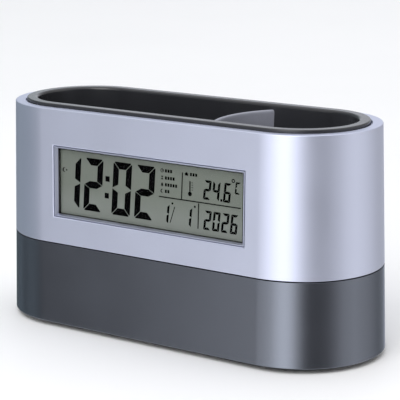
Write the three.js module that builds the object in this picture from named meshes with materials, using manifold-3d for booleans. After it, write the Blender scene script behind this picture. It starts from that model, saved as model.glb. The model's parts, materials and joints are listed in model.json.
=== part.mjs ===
// Desk pen holder with a digital clock in its front.
// Millimetres, +Z up. The origin lies on the desk under the middle of the body.
// The display faces -Y and the right hand end of the body is towards +X.

import * as THREE from "three";
import { mergeVertices } from "three/addons/utils/BufferGeometryUtils.js";
import Module from "manifold-3d";

const wasm = await Module();
wasm.setup();

// Body, measured at the foot
const BODY_DEPTH = 64.3;
const DRAFT_DEG = 1.5;
const TOP_EDGE_RADIUS = 0.4;
const SEAM_CHAMFER = 0.4;

// Window in the front
const WINDOW_WIDTH = 89.5;
const WINDOW_HEIGHT = 28.2;
const WINDOW_SIDE = 5.6;
const WINDOW_SILL = 10.4;
const WINDOW_HEAD = 15.5;

// Shell, base and bottom cover
const SHELL_WALL = 2.2;
const BASE_WALL = 2.4;
const RIM_WIDTH = 4.1;
const RIM_INNER_RADIUS = 0.4;
const LEDGE_THICKNESS = 2.0;
const SPIGOT_HEIGHT = 4.0;
const SPIGOT_WALL = 1.6;
const FOOT_HEIGHT = 0.5;
const FOOT_RADIUS = 4.5;
const FOOT_REACH = 12.0;
const PLINTH_HEIGHT = 1.5;
const PLINTH_INSET = 2.6;
const COVER_SEAT_INSET = 1.2;
const COVER_SEAT_THICKNESS = 0.5;
const COVER_RIM_HEIGHT = 3.0;
const COVER_RIM_WALL = 1.4;

// Pen tray
const FLANGE_THICKNESS = 2.2;
const FLANGE_EDGE_RADIUS = 0.5;
const TRAY_PROUD = 1.2;
const TRAY_WALL = 1.6;
const TRAY_FLOOR = 1.8;
const TRAY_DRAFT_DEG = 2.0;
const TRAY_CORNER = 2.5;
const LIP_RADIUS = 1.2;
const RIGHT_POCKET_LENGTH = 55.1;
const DIVIDER_RADIUS = 35.0;
const DIVIDER_WALL = 1.6;
const DIVIDER_DROP = 2.2;

// Display stack, from the front face inwards
const FRAME_RECESS = 0.25;
const FRAME_EDGE = 0.3;
const BEVEL_DEPTH = 1.7;
const BEVEL_SIDE = 1.3;
const BEVEL_TOP = 1.1;
const FRAME_FLANGE = 0.6;
const FRAME_FLANGE_WIDTH = 3.2;
const LENS_THICKNESS = 1.0;
const LENS_MARGIN = 0.3;
const PANEL_THICKNESS = 1.8;
const PANEL_MARGIN = 2.2;
const PANEL_SIDE = 1.6;
const PANEL_LEDGE = 2.4;
const HOLDER_WALL = 2.0;
const STRIP_HEIGHT = 0.8;
const STRIP_WIDTH = 1.6;
const BOARD_THICKNESS = 1.0;
const BOARD_ABOVE = 4.5;
const BOARD_BELOW = 7.4;
const POST_RADIUS = 2.5;
const POST_FROM_HOLDER = 0.6;
const UPPER_POST_RISE = 7.0;
const LOWER_POST_DROP = 16.0;

// Small parts on the main board
const CHIP_RADIUS = 6.5;
const CHIP_HEIGHT = 1.1;
const CRYSTAL_RADIUS = 1.0;
const CRYSTAL_LENGTH = 6.0;
const CAPACITOR_SIZE = [2.0, 0.9, 1.25];
const SENSOR_RADIUS = 1.2;
const SENSOR_LEG_RADIUS = 0.25;
const SENSOR_LEG_LENGTH = 4.0;

// Screws
const BOARD_SCREW = { shank: 0.9, length: 4.6, head: 1.9, headHeight: 1.2 };
const CASE_SCREW = { shank: 1.3, length: 14.0, head: 2.8, headHeight: 1.8 };
const CASE_SCREW_SIDE = 9.5;
const SCREW_SLOT = 0.6;
const SCREW_CROWN = 0.8;
const SCREW_BELT = 0.6;
const SCREW_SLOT_REACH = 0.55;
const PILLAR_RADIUS = 3.6;
const CUP_WALL = 1.2;
const CUP_DEPTH = 3.6;
const CUP_FLOOR = 1.4;

// Buttons on the back
const BUTTON_NAMES = ["mode", "set", "up", "down"];
const BUTTON_PITCH = 13.0;
const BUTTON_RADIUS = 3.5;
const BUTTON_PROUD = 1.0;
const BUTTON_EDGE = 0.5;
const BUTTON_EDGE_MIDDLE = 0.15;
const BUTTON_COLLAR = 0.9;
const BUTTON_COLLAR_HEIGHT = 0.8;
const BUTTON_RISE = 24.0;
const BUTTON_TRAVEL = 0.5;
const SWITCH_SIDE = 5.2;
const SWITCH_HEIGHT = 1.8;
const PLUNGER_RADIUS = 1.2;
const PLUNGER_PROUD = 0.6;
const BUTTON_BOARD_HEIGHT = 14.0;
const BUTTON_POST_BEYOND = 8.0;

// Cells, contacts and battery door
const CELL_RADIUS = 5.25;
const CELL_LENGTH = 44.5;
const CELL_NOSE_RADIUS = 1.9;
const CELL_NOSE_LENGTH = 1.2;
const CELL_EDGE = 0.4;
const CELL_ROOM = 0.5;
const CONTACT_THICKNESS = 0.4;
const CONTACT_WIDTH = 8.0;
const CONTACT_TAB = 2.4;
const CONTACT_TAB_REACH = 3.2;
const SPRING_LENGTH = 4.8;
const SPRING_RADIUS = 3.0;
const SPRING_WIRE = 0.25;
const SPRING_TURNS = 4;
const CASE_WALL = 1.2;
const DOOR_SILL = 2.5;
const DOOR_HEAD = 7.8;
const DOOR_GAP = 0.3;
const TONGUE_WIDTH = 6.0;
const TONGUE_LENGTH = 2.0;
const TONGUE_THICKNESS = 0.8;
const TONGUE_SPACING = 30.0;
const LATCH_WIDTH = 12.0;
const LATCH_HEIGHT = 2.6;

// Sounder on the bottom cover
const SOUNDER_RADIUS = 10.0;
const SOUNDER_THICKNESS = 0.3;
const CERAMIC_RADIUS = 7.0;
const CERAMIC_THICKNESS = 0.2;
const SOUNDER_RING_WALL = 1.3;
const SOUNDER_SEAT = 0.8;
const SOUNDER_X = -20.0;
const SOUND_HOLE_RADIUS = 0.8;
const SOUND_HOLE_RING = 4.5;
const SOUND_HOLES = 6;

// Leads and flat cable
const LEAD_RADIUS = 0.6;
const SOUNDER_LEAD_RADIUS = 0.4;
const LEAD_SPACING = 3.4;
const CABLE_WIDTH = 6.0;
const CABLE_THICKNESS = 0.9;
const CABLE_FROM_END = 18.7;
const CABLE_EDGE = 1.2;
const CABLE_LAP = 3.5;

// Clearances
const SEAT_GAP = 0.1;
const SLIDE_GAP = 0.25;
const FLANGE_GAP = 0.5;
const SPIGOT_GAP = 0.2;
const THREAD_GAP = 0.1;
const HOLE_GAP = 0.3;
const TRAY_CLEARANCE = 0.7;
const CASE_CLEARANCE = 1.0;
const WIRE_GAP = 0.5;

// Roundness of curved faces
const ARC_STEPS = 20;
const FILLET_STEPS = 3;
const ROUND_STEPS = 16;
const SMALL_ROUND_STEPS = 12;
const HOLE_STEPS = 8;
const LEG_STEPS = 6;
const DIVIDER_STEPS = 64;
const DOME_STEPS = 5;
const CURL_STEPS = 8;
const CURL_SIDES = 5;
const LEAD_QUARTER_STEPS = 4;
const LEAD_STEPS = 28;
const SOUNDER_LEAD_STEPS = 22;
const CABLE_STEPS = 48;
const OVERSHOOT = 1.0;
const MERGE_DISTANCE = 1e-4;

// Heights above the desk
const slope = Math.tan(THREE.MathUtils.degToRad(DRAFT_DEG));
const traySlope = Math.tan(THREE.MathUtils.degToRad(TRAY_DRAFT_DEG));
const coverZ = FOOT_HEIGHT;
const baseZ = coverZ + PLINTH_HEIGHT;
const doorZ = baseZ + DOOR_SILL;
const cellPitch = 2 * CELL_RADIUS + CELL_ROOM;
const doorHeight = 2 * cellPitch + CELL_ROOM;
const doorTopZ = doorZ + doorHeight;
const caseTopZ = doorTopZ + CASE_WALL;
const seamZ = doorTopZ + DOOR_HEAD;
const windowZ = seamZ + WINDOW_SILL + WINDOW_HEIGHT / 2;
const topZ = seamZ + WINDOW_SILL + WINDOW_HEIGHT + WINDOW_HEAD;
const trayZ = caseTopZ + CASE_CLEARANCE;
const trayFloorZ = trayZ + TRAY_FLOOR;
const flangeZ = topZ - FLANGE_THICKNESS;
const rimZ = topZ - TRAY_PROUD;
const buttonZ = seamZ + BUTTON_RISE;

// Plan of the body: two half circles joined by a straight run
const straightLength = WINDOW_WIDTH + 2 * WINDOW_SIDE;
const endX = straightLength / 2;
const footRadius = BODY_DEPTH / 2;

// Inset of the drafted outer face from the outline at desk height
const faceInset = (z) => z * slope;

// Depths of the display stack behind the front face
const lensDepth = BEVEL_DEPTH + SEAT_GAP;
const flangeDepth = SHELL_WALL + SEAT_GAP;
const flangeBack = flangeDepth + FRAME_FLANGE;
const panelDepth = Math.max(lensDepth + LENS_THICKNESS, flangeBack) + SEAT_GAP;
const panelBack = panelDepth + PANEL_THICKNESS;
const stripBack = panelBack + SEAT_GAP + STRIP_HEIGHT;
const boardDepth = stripBack + SEAT_GAP;
const boardBack = boardDepth + BOARD_THICKNESS;
const stackBack = boardBack + SEAT_GAP + BOARD_SCREW.headHeight;

// The tray wall clears the heads of the upper board screws
const upperPostZ = windowZ + UPPER_POST_RISE;
const trayOuterAtPost = faceInset(upperPostZ) + stackBack + TRAY_CLEARANCE;
const mouthInset = trayOuterAtPost + TRAY_WALL - (topZ - upperPostZ) * traySlope;
const trayInnerInset = (z) => mouthInset + (topZ - z) * traySlope;
const trayOuterInset = (z) => trayInnerInset(z) - TRAY_WALL;
const flangeInset = faceInset(rimZ) + RIM_WIDTH + FLANGE_GAP;

// Frame on the tilted front face, with +Y pointing into the body
const frontTilt = THREE.MathUtils.degToRad(-DRAFT_DEG);
const frontOrigin = new THREE.Vector3(0, faceInset(windowZ) - footRadius, windowZ);
const frontMatrix = new THREE.Matrix4().makeRotationX(frontTilt).setPosition(frontOrigin);

// Sizes across the display
const frameWidth = WINDOW_WIDTH - 2 * SLIDE_GAP;
const frameHeight = WINDOW_HEIGHT - 2 * SLIDE_GAP;
const sightWidth = WINDOW_WIDTH - 2 * BEVEL_SIDE;
const sightHeight = WINDOW_HEIGHT - 2 * BEVEL_TOP;
const lensWidth = sightWidth + 2 * LENS_MARGIN;
const lensHeight = sightHeight + 2 * LENS_MARGIN;
const panelWidth = WINDOW_WIDTH + 2 * PANEL_SIDE;
const panelHeight = WINDOW_HEIGHT + 2 * PANEL_MARGIN;
const holderWidth = panelWidth + 2 * (SLIDE_GAP + HOLDER_WALL);
const holderHeight = panelHeight + 2 * (SLIDE_GAP + HOLDER_WALL);
const postX = holderWidth / 2 + POST_FROM_HOLDER + POST_RADIUS;
const boardWidth = 2 * (postX + POST_RADIUS);
const boardTop = WINDOW_HEIGHT / 2 + BOARD_ABOVE;
const boardBottom = -WINDOW_HEIGHT / 2 - BOARD_BELOW;

// Battery compartment in the back of the base
const doorWidth = CELL_LENGTH + SPRING_LENGTH + 2 * CONTACT_THICKNESS + 5 * SEAT_GAP;
const caseEndX = doorWidth / 2;
const rearInnerY = (z) => footRadius - faceInset(z) - BASE_WALL;
const cellY = rearInnerY(doorTopZ) - CELL_ROOM - CELL_RADIUS;
const caseBackY = cellY - CELL_RADIUS - CELL_ROOM;
const lowerCellZ = doorZ + CELL_ROOM + CELL_RADIUS;
const upperCellZ = lowerCellZ + cellPitch;

// Button stack behind the rear face
const buttonFaceY = footRadius - faceInset(buttonZ);
const collarDepth = SHELL_WALL + HOLE_GAP;
const collarBack = collarDepth + BUTTON_COLLAR_HEIGHT;
const plungerDepth = collarBack + SEAT_GAP;
const switchDepth = plungerDepth + PLUNGER_PROUD;
const switchBack = switchDepth + SWITCH_HEIGHT;
const buttonBoardDepth = switchBack + SEAT_GAP;
const buttonBoardBack = buttonBoardDepth + BOARD_THICKNESS;
const buttonRow = (BUTTON_NAMES.length - 1) * BUTTON_PITCH;
const buttonPostX = buttonRow / 2 + BUTTON_POST_BEYOND;

// Flat cable, beside the battery compartment, from the button board to the main board
const cableX = CABLE_FROM_END - boardWidth / 2;
const buttonBoardWidth = 2 * (CABLE_WIDTH / 2 + CABLE_EDGE - cableX);

// Case screws, pillars and feet
const screwY = CASE_SCREW_SIDE;
const cupTopZ = coverZ + CUP_DEPTH + CUP_FLOOR;
const caseScrewHeadZ = coverZ + CUP_DEPTH - SEAT_GAP - CASE_SCREW.headHeight;
const cornerSpots = [[1, 1], [1, -1], [-1, 1], [-1, -1]];

// Materials, coloured as the photograph shows them
const finish = (color, roughness, metalness) =>
  new THREE.MeshStandardMaterial({ color, roughness, metalness });
const materials = {
  silver: finish(0xb4b8c4, 0.38, 0.55),
  charcoal: finish(0x50545c, 0.42, 0.25),
  trayBlack: finish(0x2c2e32, 0.5, 0.0),
  clear: finish(0xdfe6e8, 0.08, 0.0),
  panelGrey: finish(0x87908a, 0.25, 0.0),
  holderWhite: finish(0xd9dad6, 0.6, 0.0),
  contactRubber: finish(0x4a4652, 0.8, 0.0),
  boardGreen: finish(0x2d6b3c, 0.5, 0.0),
  resinBlack: finish(0x161618, 0.35, 0.0),
  tinned: finish(0xc4c6c8, 0.3, 0.9),
  ceramicTan: finish(0xb99b6e, 0.6, 0.0),
  steel: finish(0x9a9ca0, 0.3, 0.95),
  brass: finish(0xc8a452, 0.3, 0.9),
  ceramicWhite: finish(0xe4e2da, 0.5, 0.0),
  cellJacket: finish(0x3a6ea8, 0.35, 0.2),
  redLead: finish(0xb8282a, 0.5, 0.0),
  blackLead: finish(0x1c1c1e, 0.5, 0.0),
  cableGrey: finish(0xa9adb3, 0.55, 0.0),
  footRubber: finish(0x1f2022, 0.85, 0.0),
};

// Turns a closed geometry into a solid for joining and cutting.
function solidOf(geometry) {
  const bare = geometry.clone();
  bare.deleteAttribute("normal");
  bare.deleteAttribute("uv");
  const merged = mergeVertices(bare, MERGE_DISTANCE);
  const corners = [];
  for (let i = 0; i < merged.index.count; i += 3) {
    const [a, b, c] = [0, 1, 2].map((k) => merged.index.getX(i + k));
    if (a !== b && b !== c && c !== a) {
      corners.push(a, b, c);
    }
  }
  return new wasm.Manifold(new wasm.Mesh({
    numProp: 3,
    vertProperties: new Float32Array(merged.attributes.position.array),
    triVerts: new Uint32Array(corners),
  }));
}

function geometryOf(solid) {
  const mesh = solid.getMesh();
  const geometry = new THREE.BufferGeometry();
  geometry.setAttribute("position", new THREE.BufferAttribute(mesh.vertProperties, mesh.numProp));
  geometry.setIndex(new THREE.BufferAttribute(mesh.triVerts, 1));
  geometry.computeVertexNormals();
  return geometry;
}

const join = (first, ...others) =>
  geometryOf(others.reduce((solid, other) => solid.add(solidOf(other)), solidOf(first)));
const cut = (first, ...tools) =>
  geometryOf(tools.reduce((solid, tool) => solid.subtract(solidOf(tool)), solidOf(first)));
const common = (first, second) => geometryOf(solidOf(first).intersect(solidOf(second)));

// Box between two opposite corners.
function box(x0, x1, y0, y1, z0, z1) {
  const geometry = new THREE.BoxGeometry(x1 - x0, y1 - y0, z1 - z0);
  return geometry.translate((x0 + x1) / 2, (y0 + y1) / 2, (z0 + z1) / 2);
}

// Box centred across x and z, between two depths along y.
const slab = (width, height, y0, y1) =>
  box(-width / 2, width / 2, y0, y1, -height / 2, height / 2);

// Box whose width and height change from one depth to the other.
function taperedSlab(near, far, y0, y1) {
  const geometry = slab(1, 1, y0, y1);
  const points = geometry.attributes.position;
  for (let i = 0; i < points.count; i += 1) {
    const size = points.getY(i) < (y0 + y1) / 2 ? near : far;
    points.setXYZ(i, points.getX(i) * size[0], points.getY(i), points.getZ(i) * size[1]);
  }
  return geometry;
}

// Round bar standing along z from one height to another.
function bar(radius, z0, z1, steps = SMALL_ROUND_STEPS) {
  const geometry = new THREE.CylinderGeometry(radius, radius, z1 - z0, steps);
  return geometry.rotateX(Math.PI / 2).translate(0, 0, (z0 + z1) / 2);
}

// Round bar along y from one depth to another.
const crossBar = (radius, y0, y1, steps = SMALL_ROUND_STEPS) =>
  bar(radius, y0, y1, steps).rotateX(-Math.PI / 2);

// Solid of revolution about z from points of radius and height.
function turned(profile, steps = ROUND_STEPS) {
  const points = profile.map(([radius, z]) => new THREE.Vector2(radius, z));
  const geometry = new THREE.LatheGeometry(points, steps);
  return geometryOf(solidOf(geometry.rotateX(Math.PI / 2)));
}

// Points on a quarter fillet, from one angle to another in degrees.
function fillet(inset, z, radius, from, to) {
  return Array.from({ length: FILLET_STEPS + 1 }, (unused, k) => {
    const angle = THREE.MathUtils.degToRad(from + ((to - from) * k) / FILLET_STEPS);
    return [inset - radius * Math.cos(angle), z + radius * Math.sin(angle)];
  });
}

// Volume enclosed by a triangle list, negative when its faces point in.
function signedVolume(points, corners) {
  const [a, b, c] = [new THREE.Vector3(), new THREE.Vector3(), new THREE.Vector3()];
  let volume = 0;
  for (let i = 0; i < corners.length; i += 3) {
    a.fromArray(points, 3 * corners[i]);
    b.fromArray(points, 3 * corners[i + 1]);
    c.fromArray(points, 3 * corners[i + 2]);
    volume += a.dot(b.cross(c)) / 6;
  }
  return volume;
}

// Sweeps a profile of insets and heights round the racetrack plan of the body.
// A closed profile makes a ring, an open one a solid capped at its first and last outline.
function racetrack(profile, closed) {
  const points = [];
  profile.forEach(([inset, z]) => {
    [1, -1].forEach((end) => {
      for (let k = 0; k <= ARC_STEPS; k += 1) {
        const angle = Math.PI * (k / ARC_STEPS - end / 2);
        const radius = footRadius - inset;
        points.push(end * endX + radius * Math.cos(angle), radius * Math.sin(angle), z);
      }
    });
  });
  const count = 2 * (ARC_STEPS + 1);
  const corners = [];
  const bands = closed ? profile.length : profile.length - 1;
  for (let row = 0; row < bands; row += 1) {
    const next = (row + 1) % profile.length;
    for (let k = 0; k < count; k += 1) {
      const side = (k + 1) % count;
      const [a, b] = [row * count + k, row * count + side];
      const [c, d] = [next * count + side, next * count + k];
      corners.push(a, b, c, a, c, d);
    }
  }
  if (!closed) {
    const last = (profile.length - 1) * count;
    for (let k = 1; k < count - 1; k += 1) {
      corners.push(0, k + 1, k, last, last + k, last + k + 1);
    }
  }
  if (signedVolume(points, corners) < 0) {
    corners.reverse();
  }
  const geometry = new THREE.BufferGeometry();
  geometry.setAttribute("position", new THREE.Float32BufferAttribute(points, 3));
  geometry.setIndex(corners);
  geometry.computeVertexNormals();
  return geometry;
}

// Round lead along a smooth path.
function lead(radius, stops, steps) {
  const outline = new THREE.Shape().absarc(0, 0, radius, 0, 2 * Math.PI);
  const path = new THREE.CatmullRomCurve3(stops.map((stop) => new THREE.Vector3(...stop)));
  const options = { steps, extrudePath: path, bevelEnabled: false, curveSegments: LEAD_QUARTER_STEPS };
  return geometryOf(solidOf(new THREE.ExtrudeGeometry(outline, options)));
}

// Pan head screw pointing up z, the underside of its head at zero.
function screw({ shank, length, head, headHeight }) {
  const body = turned([
    [0, -headHeight],
    [head * SCREW_CROWN, -headHeight],
    [head, -headHeight * SCREW_BELT],
    [head, 0],
    [shank, 0],
    [shank, length - shank],
    [0, length],
  ], SMALL_ROUND_STEPS);
  const reach = head * SCREW_SLOT_REACH;
  const half = SCREW_SLOT / 2;
  const slotZ = -headHeight / 2;
  return cut(
    body,
    box(-reach, reach, -half, half, -headHeight - OVERSHOOT, slotZ),
    box(-half, half, -reach, reach, -headHeight - OVERSHOOT, slotZ),
  );
}

const inFront = (geometry) => geometry.applyMatrix4(frontMatrix);
const postSpots = [
  [postX, UPPER_POST_RISE], [-postX, UPPER_POST_RISE],
  [postX, -LOWER_POST_DROP], [-postX, -LOWER_POST_DROP],
];

// Silver upper shell: drafted ring with a turned-in rim, and a ledge under the tray flange, whose top
// stands proud of the rim.
function makeUpperShell() {
  const ledgeInset = trayOuterInset(flangeZ - LEDGE_THICKNESS) - HOLE_GAP;
  const rimInset = faceInset(rimZ) + RIM_WIDTH;
  const ledgeZ = flangeZ - LEDGE_THICKNESS;
  const wallInset = faceInset(ledgeZ) + SHELL_WALL;
  const gussetZ = ledgeZ - (ledgeInset - wallInset);
  const ring = racetrack([
    [faceInset(seamZ) + SEAM_CHAMFER, seamZ],
    [faceInset(seamZ + SEAM_CHAMFER), seamZ + SEAM_CHAMFER],
    ...fillet(faceInset(rimZ) + TOP_EDGE_RADIUS, rimZ - TOP_EDGE_RADIUS, TOP_EDGE_RADIUS, 0, 90),
    ...fillet(rimInset - RIM_INNER_RADIUS, rimZ - RIM_INNER_RADIUS, RIM_INNER_RADIUS, 90, 180),
    [rimInset, flangeZ],
    [ledgeInset, flangeZ],
    [ledgeInset, ledgeZ],
    [faceInset(gussetZ) + SHELL_WALL, gussetZ],
    [faceInset(seamZ) + SHELL_WALL, seamZ],
  ], true);
  const rearWallY = buttonFaceY - SHELL_WALL / 2;
  const posts = postSpots.map(([x, v]) => inFront(
    crossBar(POST_RADIUS, SHELL_WALL / 2, boardDepth - SEAT_GAP).translate(x, 0, v)));
  const rearPosts = [1, -1].map((side) =>
    crossBar(POST_RADIUS, buttonFaceY - buttonBoardDepth + SEAT_GAP, rearWallY)
      .translate(side * buttonPostX, 0, buttonZ));
  const pilot = BOARD_SCREW.shank + THREAD_GAP;
  const pilots = postSpots.map(([x, v]) => inFront(
    crossBar(pilot, SHELL_WALL / 2, boardDepth).translate(x, 0, v)));
  const rearPilots = [1, -1].map((side) =>
    crossBar(pilot, buttonFaceY - buttonBoardDepth, rearWallY)
      .translate(side * buttonPostX, 0, buttonZ));
  const window = inFront(slab(WINDOW_WIDTH, WINDOW_HEIGHT, -OVERSHOOT, SHELL_WALL + OVERSHOOT));
  const buttonHoles = BUTTON_NAMES.map((name, k) =>
    crossBar(BUTTON_RADIUS + SLIDE_GAP, rearWallY - SHELL_WALL, buttonFaceY + OVERSHOOT, ROUND_STEPS)
      .translate(buttonX(k), 0, buttonZ));
  return cut(join(ring, ...posts, ...rearPosts), window, ...pilots, ...rearPilots, ...buttonHoles);
}

const buttonX = (k) => k * BUTTON_PITCH - buttonRow / 2;

// Ring of the base wall, with the spigot that enters the upper shell.
function makeBaseRing() {
  const spigotOuter = SHELL_WALL + SPIGOT_GAP;
  const spigotInner = spigotOuter + SPIGOT_WALL;
  const spigotTop = seamZ + SPIGOT_HEIGHT;
  const shoulderZ = seamZ - SPIGOT_HEIGHT / 2;
  const shoulderStart = shoulderZ - (spigotInner - BASE_WALL);
  return racetrack([
    [faceInset(baseZ) + SEAM_CHAMFER, baseZ],
    [faceInset(baseZ + SEAM_CHAMFER), baseZ + SEAM_CHAMFER],
    [faceInset(seamZ - SEAM_CHAMFER), seamZ - SEAM_CHAMFER],
    [faceInset(seamZ) + SEAM_CHAMFER, seamZ],
    [faceInset(seamZ) + spigotOuter, seamZ],
    [faceInset(spigotTop) + spigotOuter, spigotTop],
    [faceInset(spigotTop) + spigotInner, spigotTop],
    [faceInset(shoulderZ) + spigotInner, shoulderZ],
    [faceInset(shoulderStart) + BASE_WALL, shoulderStart],
    [faceInset(baseZ) + BASE_WALL, baseZ],
  ], true);
}

const tongueX = [TONGUE_SPACING / 2, -TONGUE_SPACING / 2];
const tabSlotHalf = CONTACT_TAB / 2 + SLIDE_GAP;

// Base with the battery compartment moulded behind its rear wall.
function makeBaseShell(ring) {
  const wallY = rearInnerY(doorZ) + BASE_WALL / 2;
  const shellBox = box(
    -caseEndX - CASE_WALL, caseEndX + CASE_WALL, caseBackY - CASE_WALL, wallY,
    doorZ - CASE_WALL, caseTopZ);
  const outsideY = footRadius + OVERSHOOT;
  const cavity = box(-caseEndX, caseEndX, caseBackY, outsideY, doorZ, doorTopZ);
  const notchReach = TONGUE_LENGTH + TONGUE_THICKNESS + SLIDE_GAP;
  const notches = tongueX.map((x) => box(
    x - TONGUE_WIDTH / 2 - DOOR_GAP, x + TONGUE_WIDTH / 2 + DOOR_GAP,
    rearInnerY(baseZ) - notchReach, rearInnerY(doorZ) + SEAT_GAP,
    doorZ - DOOR_SILL, doorZ + OVERSHOOT));
  const latchHalf = LATCH_WIDTH / 2 + DOOR_GAP;
  const latchNotch = box(
    -latchHalf, latchHalf, caseBackY + CELL_RADIUS, outsideY,
    doorTopZ - OVERSHOOT, doorTopZ + LATCH_HEIGHT);
  const tabSlots = [lowerCellZ, upperCellZ].map((z) => box(
    caseEndX - OVERSHOOT, caseEndX + CASE_WALL + OVERSHOOT,
    cellY - tabSlotHalf, cellY + tabSlotHalf, z - tabSlotHalf, z + tabSlotHalf));
  return cut(join(ring, shellBox), cavity, ...notches, latchNotch, ...tabSlots);
}

// Door cut from the same wall as the base, so its face is flush.
function makeBatteryDoor(ring) {
  const outsideY = footRadius + OVERSHOOT;
  const lowZ = doorZ + DOOR_GAP;
  const highZ = doorTopZ - DOOR_GAP;
  const half = caseEndX - DOOR_GAP;
  const opening = join(
    box(-half, half, 0, outsideY, lowZ, highZ),
    box(-LATCH_WIDTH / 2, LATCH_WIDTH / 2, 0, outsideY, highZ - OVERSHOOT,
      doorTopZ + LATCH_HEIGHT - DOOR_GAP));
  const wallOnly = cut(ring, box(-endX, endX, -footRadius, rearInnerY(doorTopZ), 0, topZ));
  const plate = common(wallOnly, opening);
  const behindY = rearInnerY(baseZ) - SLIDE_GAP;
  const tongues = tongueX.map((x) => box(
    x - TONGUE_WIDTH / 2, x + TONGUE_WIDTH / 2, behindY - TONGUE_THICKNESS, behindY,
    lowZ - TONGUE_LENGTH, lowZ + TONGUE_LENGTH));
  const roots = tongueX.map((x) => box(
    x - TONGUE_WIDTH / 2, x + TONGUE_WIDTH / 2, behindY - TONGUE_THICKNESS, behindY + BASE_WALL / 2,
    lowZ, lowZ + TONGUE_LENGTH));
  return join(plate, ...tongues, ...roots);
}

// Bottom cover: plinth plate with a seat under the base wall, locating rim, screw cups, sounder ring
// and sound holes.
function makeBottomCover() {
  const plinthInset = faceInset(baseZ) + PLINTH_INSET;
  const seatInset = faceInset(baseZ) + COVER_SEAT_INSET;
  const rimInset = faceInset(baseZ) + BASE_WALL + HOLE_GAP;
  const plate = racetrack([
    [plinthInset + SEAM_CHAMFER, coverZ],
    [plinthInset, coverZ + SEAM_CHAMFER],
    [plinthInset, baseZ - COVER_SEAT_THICKNESS],
    [seatInset, baseZ - COVER_SEAT_THICKNESS],
    [seatInset, baseZ],
  ], false);
  const rim = racetrack([
    [rimInset, baseZ - PLINTH_HEIGHT / 2],
    [rimInset, baseZ + COVER_RIM_HEIGHT],
    [rimInset + COVER_RIM_WALL, baseZ + COVER_RIM_HEIGHT],
    [rimInset + COVER_RIM_WALL, baseZ - PLINTH_HEIGHT / 2],
  ], true);
  const caseRoom = box(
    -caseEndX - CASE_WALL - HOLE_GAP, caseEndX + CASE_WALL + HOLE_GAP,
    caseBackY, footRadius, baseZ, baseZ + COVER_RIM_HEIGHT + OVERSHOOT);
  const headRoom = CASE_SCREW.head + HOLE_GAP;
  const cups = cornerSpots.map(([x, y]) =>
    bar(headRoom + CUP_WALL, coverZ + SEAM_CHAMFER, cupTopZ).translate(x * endX, y * screwY, 0));
  const recesses = cornerSpots.map(([x, y]) =>
    bar(headRoom, coverZ - OVERSHOOT, coverZ + CUP_DEPTH).translate(x * endX, y * screwY, 0));
  const holes = cornerSpots.map(([x, y]) =>
    bar(CASE_SCREW.shank + HOLE_GAP, coverZ, cupTopZ + OVERSHOOT).translate(x * endX, y * screwY, 0));
  const ringInner = SOUNDER_RADIUS + SLIDE_GAP;
  const seatInner = SOUNDER_RADIUS - SOUNDER_SEAT;
  const rootZ = baseZ - PLINTH_HEIGHT / 2;
  const seatZ = baseZ + SOUNDER_SEAT;
  const wallZ = seatZ + SOUNDER_SEAT + SOUNDER_THICKNESS;
  const sounderRing = turned([
    [seatInner, rootZ],
    [ringInner + SOUNDER_RING_WALL, rootZ],
    [ringInner + SOUNDER_RING_WALL, wallZ],
    [ringInner, wallZ],
    [ringInner, seatZ],
    [seatInner, seatZ],
    [seatInner, rootZ],
  ]).translate(SOUNDER_X, sounderY, 0);
  const soundHoles = Array.from({ length: SOUND_HOLES }, (unused, k) => {
    const angle = (2 * Math.PI * k) / SOUND_HOLES;
    return bar(SOUND_HOLE_RADIUS, coverZ - OVERSHOOT, baseZ + OVERSHOOT, HOLE_STEPS).translate(
      SOUNDER_X + SOUND_HOLE_RING * Math.cos(angle), sounderY + SOUND_HOLE_RING * Math.sin(angle), 0);
  });
  const trimmedRim = cut(rim, caseRoom);
  return cut(join(plate, trimmedRim, ...cups, sounderRing), ...recesses, ...holes, ...soundHoles);
}

const sounderY = -(footRadius - BASE_WALL - COVER_RIM_WALL - SOUNDER_RADIUS - SOUNDER_RING_WALL
  - COVER_RIM_HEIGHT);

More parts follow.
